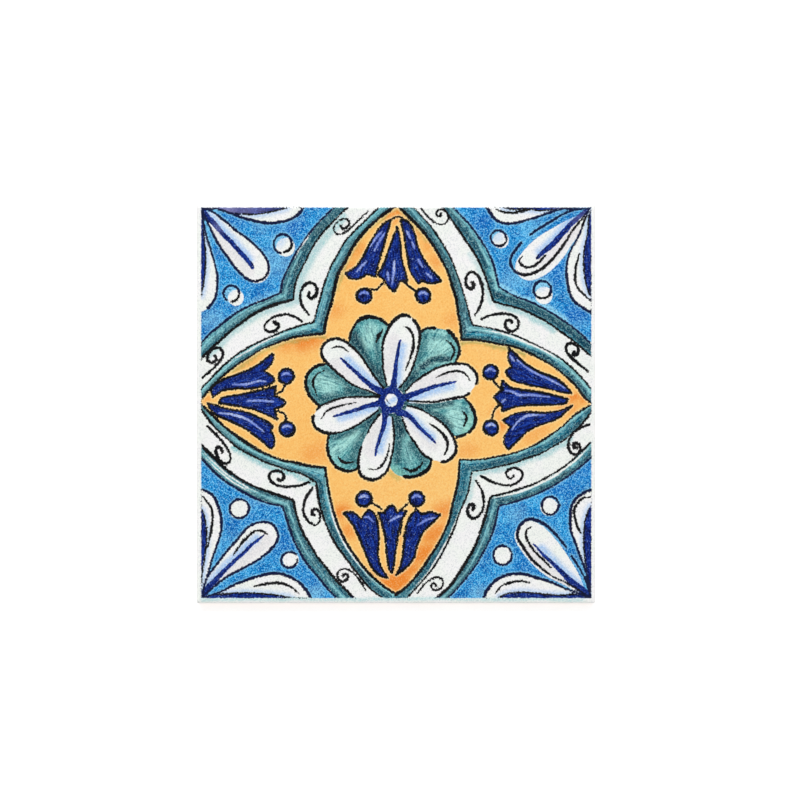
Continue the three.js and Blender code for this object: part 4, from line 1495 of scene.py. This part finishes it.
tile = build_tile()
tile.data.materials.append(glazed_tile())
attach(tile, "root")
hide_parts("tile")

bpy.ops.mesh.primitive_plane_add(size=FLOOR_SIZE, location=(0, 0, -FLOOR_DROP))
floor = bpy.context.object
floor.name = "floor"
floor.data.materials.append(floor_material())

# Light

KEY_PLACE, KEY_SIZE, KEY_POWER = (0.0, 2.2, 2.4), (2.4, 1.6), 58
DIM_START, DIM_END = 0.82, 0.97  # the sky dims from here to here, as heights on a unit sphere
SKY_STRENGTH, OVERHEAD_STRENGTH = 0.78, 0.1


def softbox(name, place, size, power):
    """A rectangular lamp that faces the tile."""
    light = bpy.data.lights.new(name, "AREA")
    light.shape = "RECTANGLE"
    light.size, light.size_y = size
    light.energy = power
    lamp = bpy.data.objects.new(name, light)
    lamp.location = place
    lamp.rotation_euler = (-Vector(place)).to_track_quat("-Z", "Y").to_euler()
    bpy.context.collection.objects.link(lamp)


def studio_light():
    """Soft light from all around, dimmer straight overhead."""
    world = bpy.data.worlds.new("studio")
    world.use_nodes = True
    nodes, links = world.node_tree.nodes, world.node_tree.links
    height = nodes.new("ShaderNodeSeparateXYZ")
    links.new(nodes.new("ShaderNodeTexCoord").outputs["Generated"], height.inputs[0])
    bright = nodes.new("ShaderNodeMapRange")
    bright.interpolation_type = "SMOOTHSTEP"
    for socket, value in (("From Min", DIM_START), ("From Max", DIM_END), ("To Min", SKY_STRENGTH),
                          ("To Max", OVERHEAD_STRENGTH)):
        bright.inputs[socket].default_value = value
    links.new(height.outputs["Z"], bright.inputs["Value"])
    background = nodes["Background"]
    background.inputs["Color"].default_value = (1, 1, 1, 1)
    links.new(bright.outputs["Result"], background.inputs["Strength"])
    return world


scene = bpy.context.scene
softbox("key_light", KEY_PLACE, KEY_SIZE, KEY_POWER)
scene.world = studio_light()
scene.view_settings.view_transform = "Standard"

# The camera looks straight down. The tile's middle is at this pixel of an 800 x 800 picture.
MIDDLE_X_PX, MIDDLE_Y_PX, PICTURE_PX = 396.0, 404.2, 800
VIEW_WIDTH = 0.4015  # what the picture shows across at the face, in metres
LENS, SENSOR = 200.0, 36.0
pixel = VIEW_WIDTH / PICTURE_PX
camera_data = bpy.data.cameras.new("camera")
camera_data.lens = LENS
camera_data.sensor_width = SENSOR
camera = bpy.data.objects.new("camera", camera_data)
camera.location = ((PICTURE_PX / 2 - MIDDLE_X_PX) * pixel, (MIDDLE_Y_PX - PICTURE_PX / 2) * pixel,
                   THICKNESS * MM + VIEW_WIDTH * LENS / SENSOR)
bpy.context.collection.objects.link(camera)
scene.camera = camera
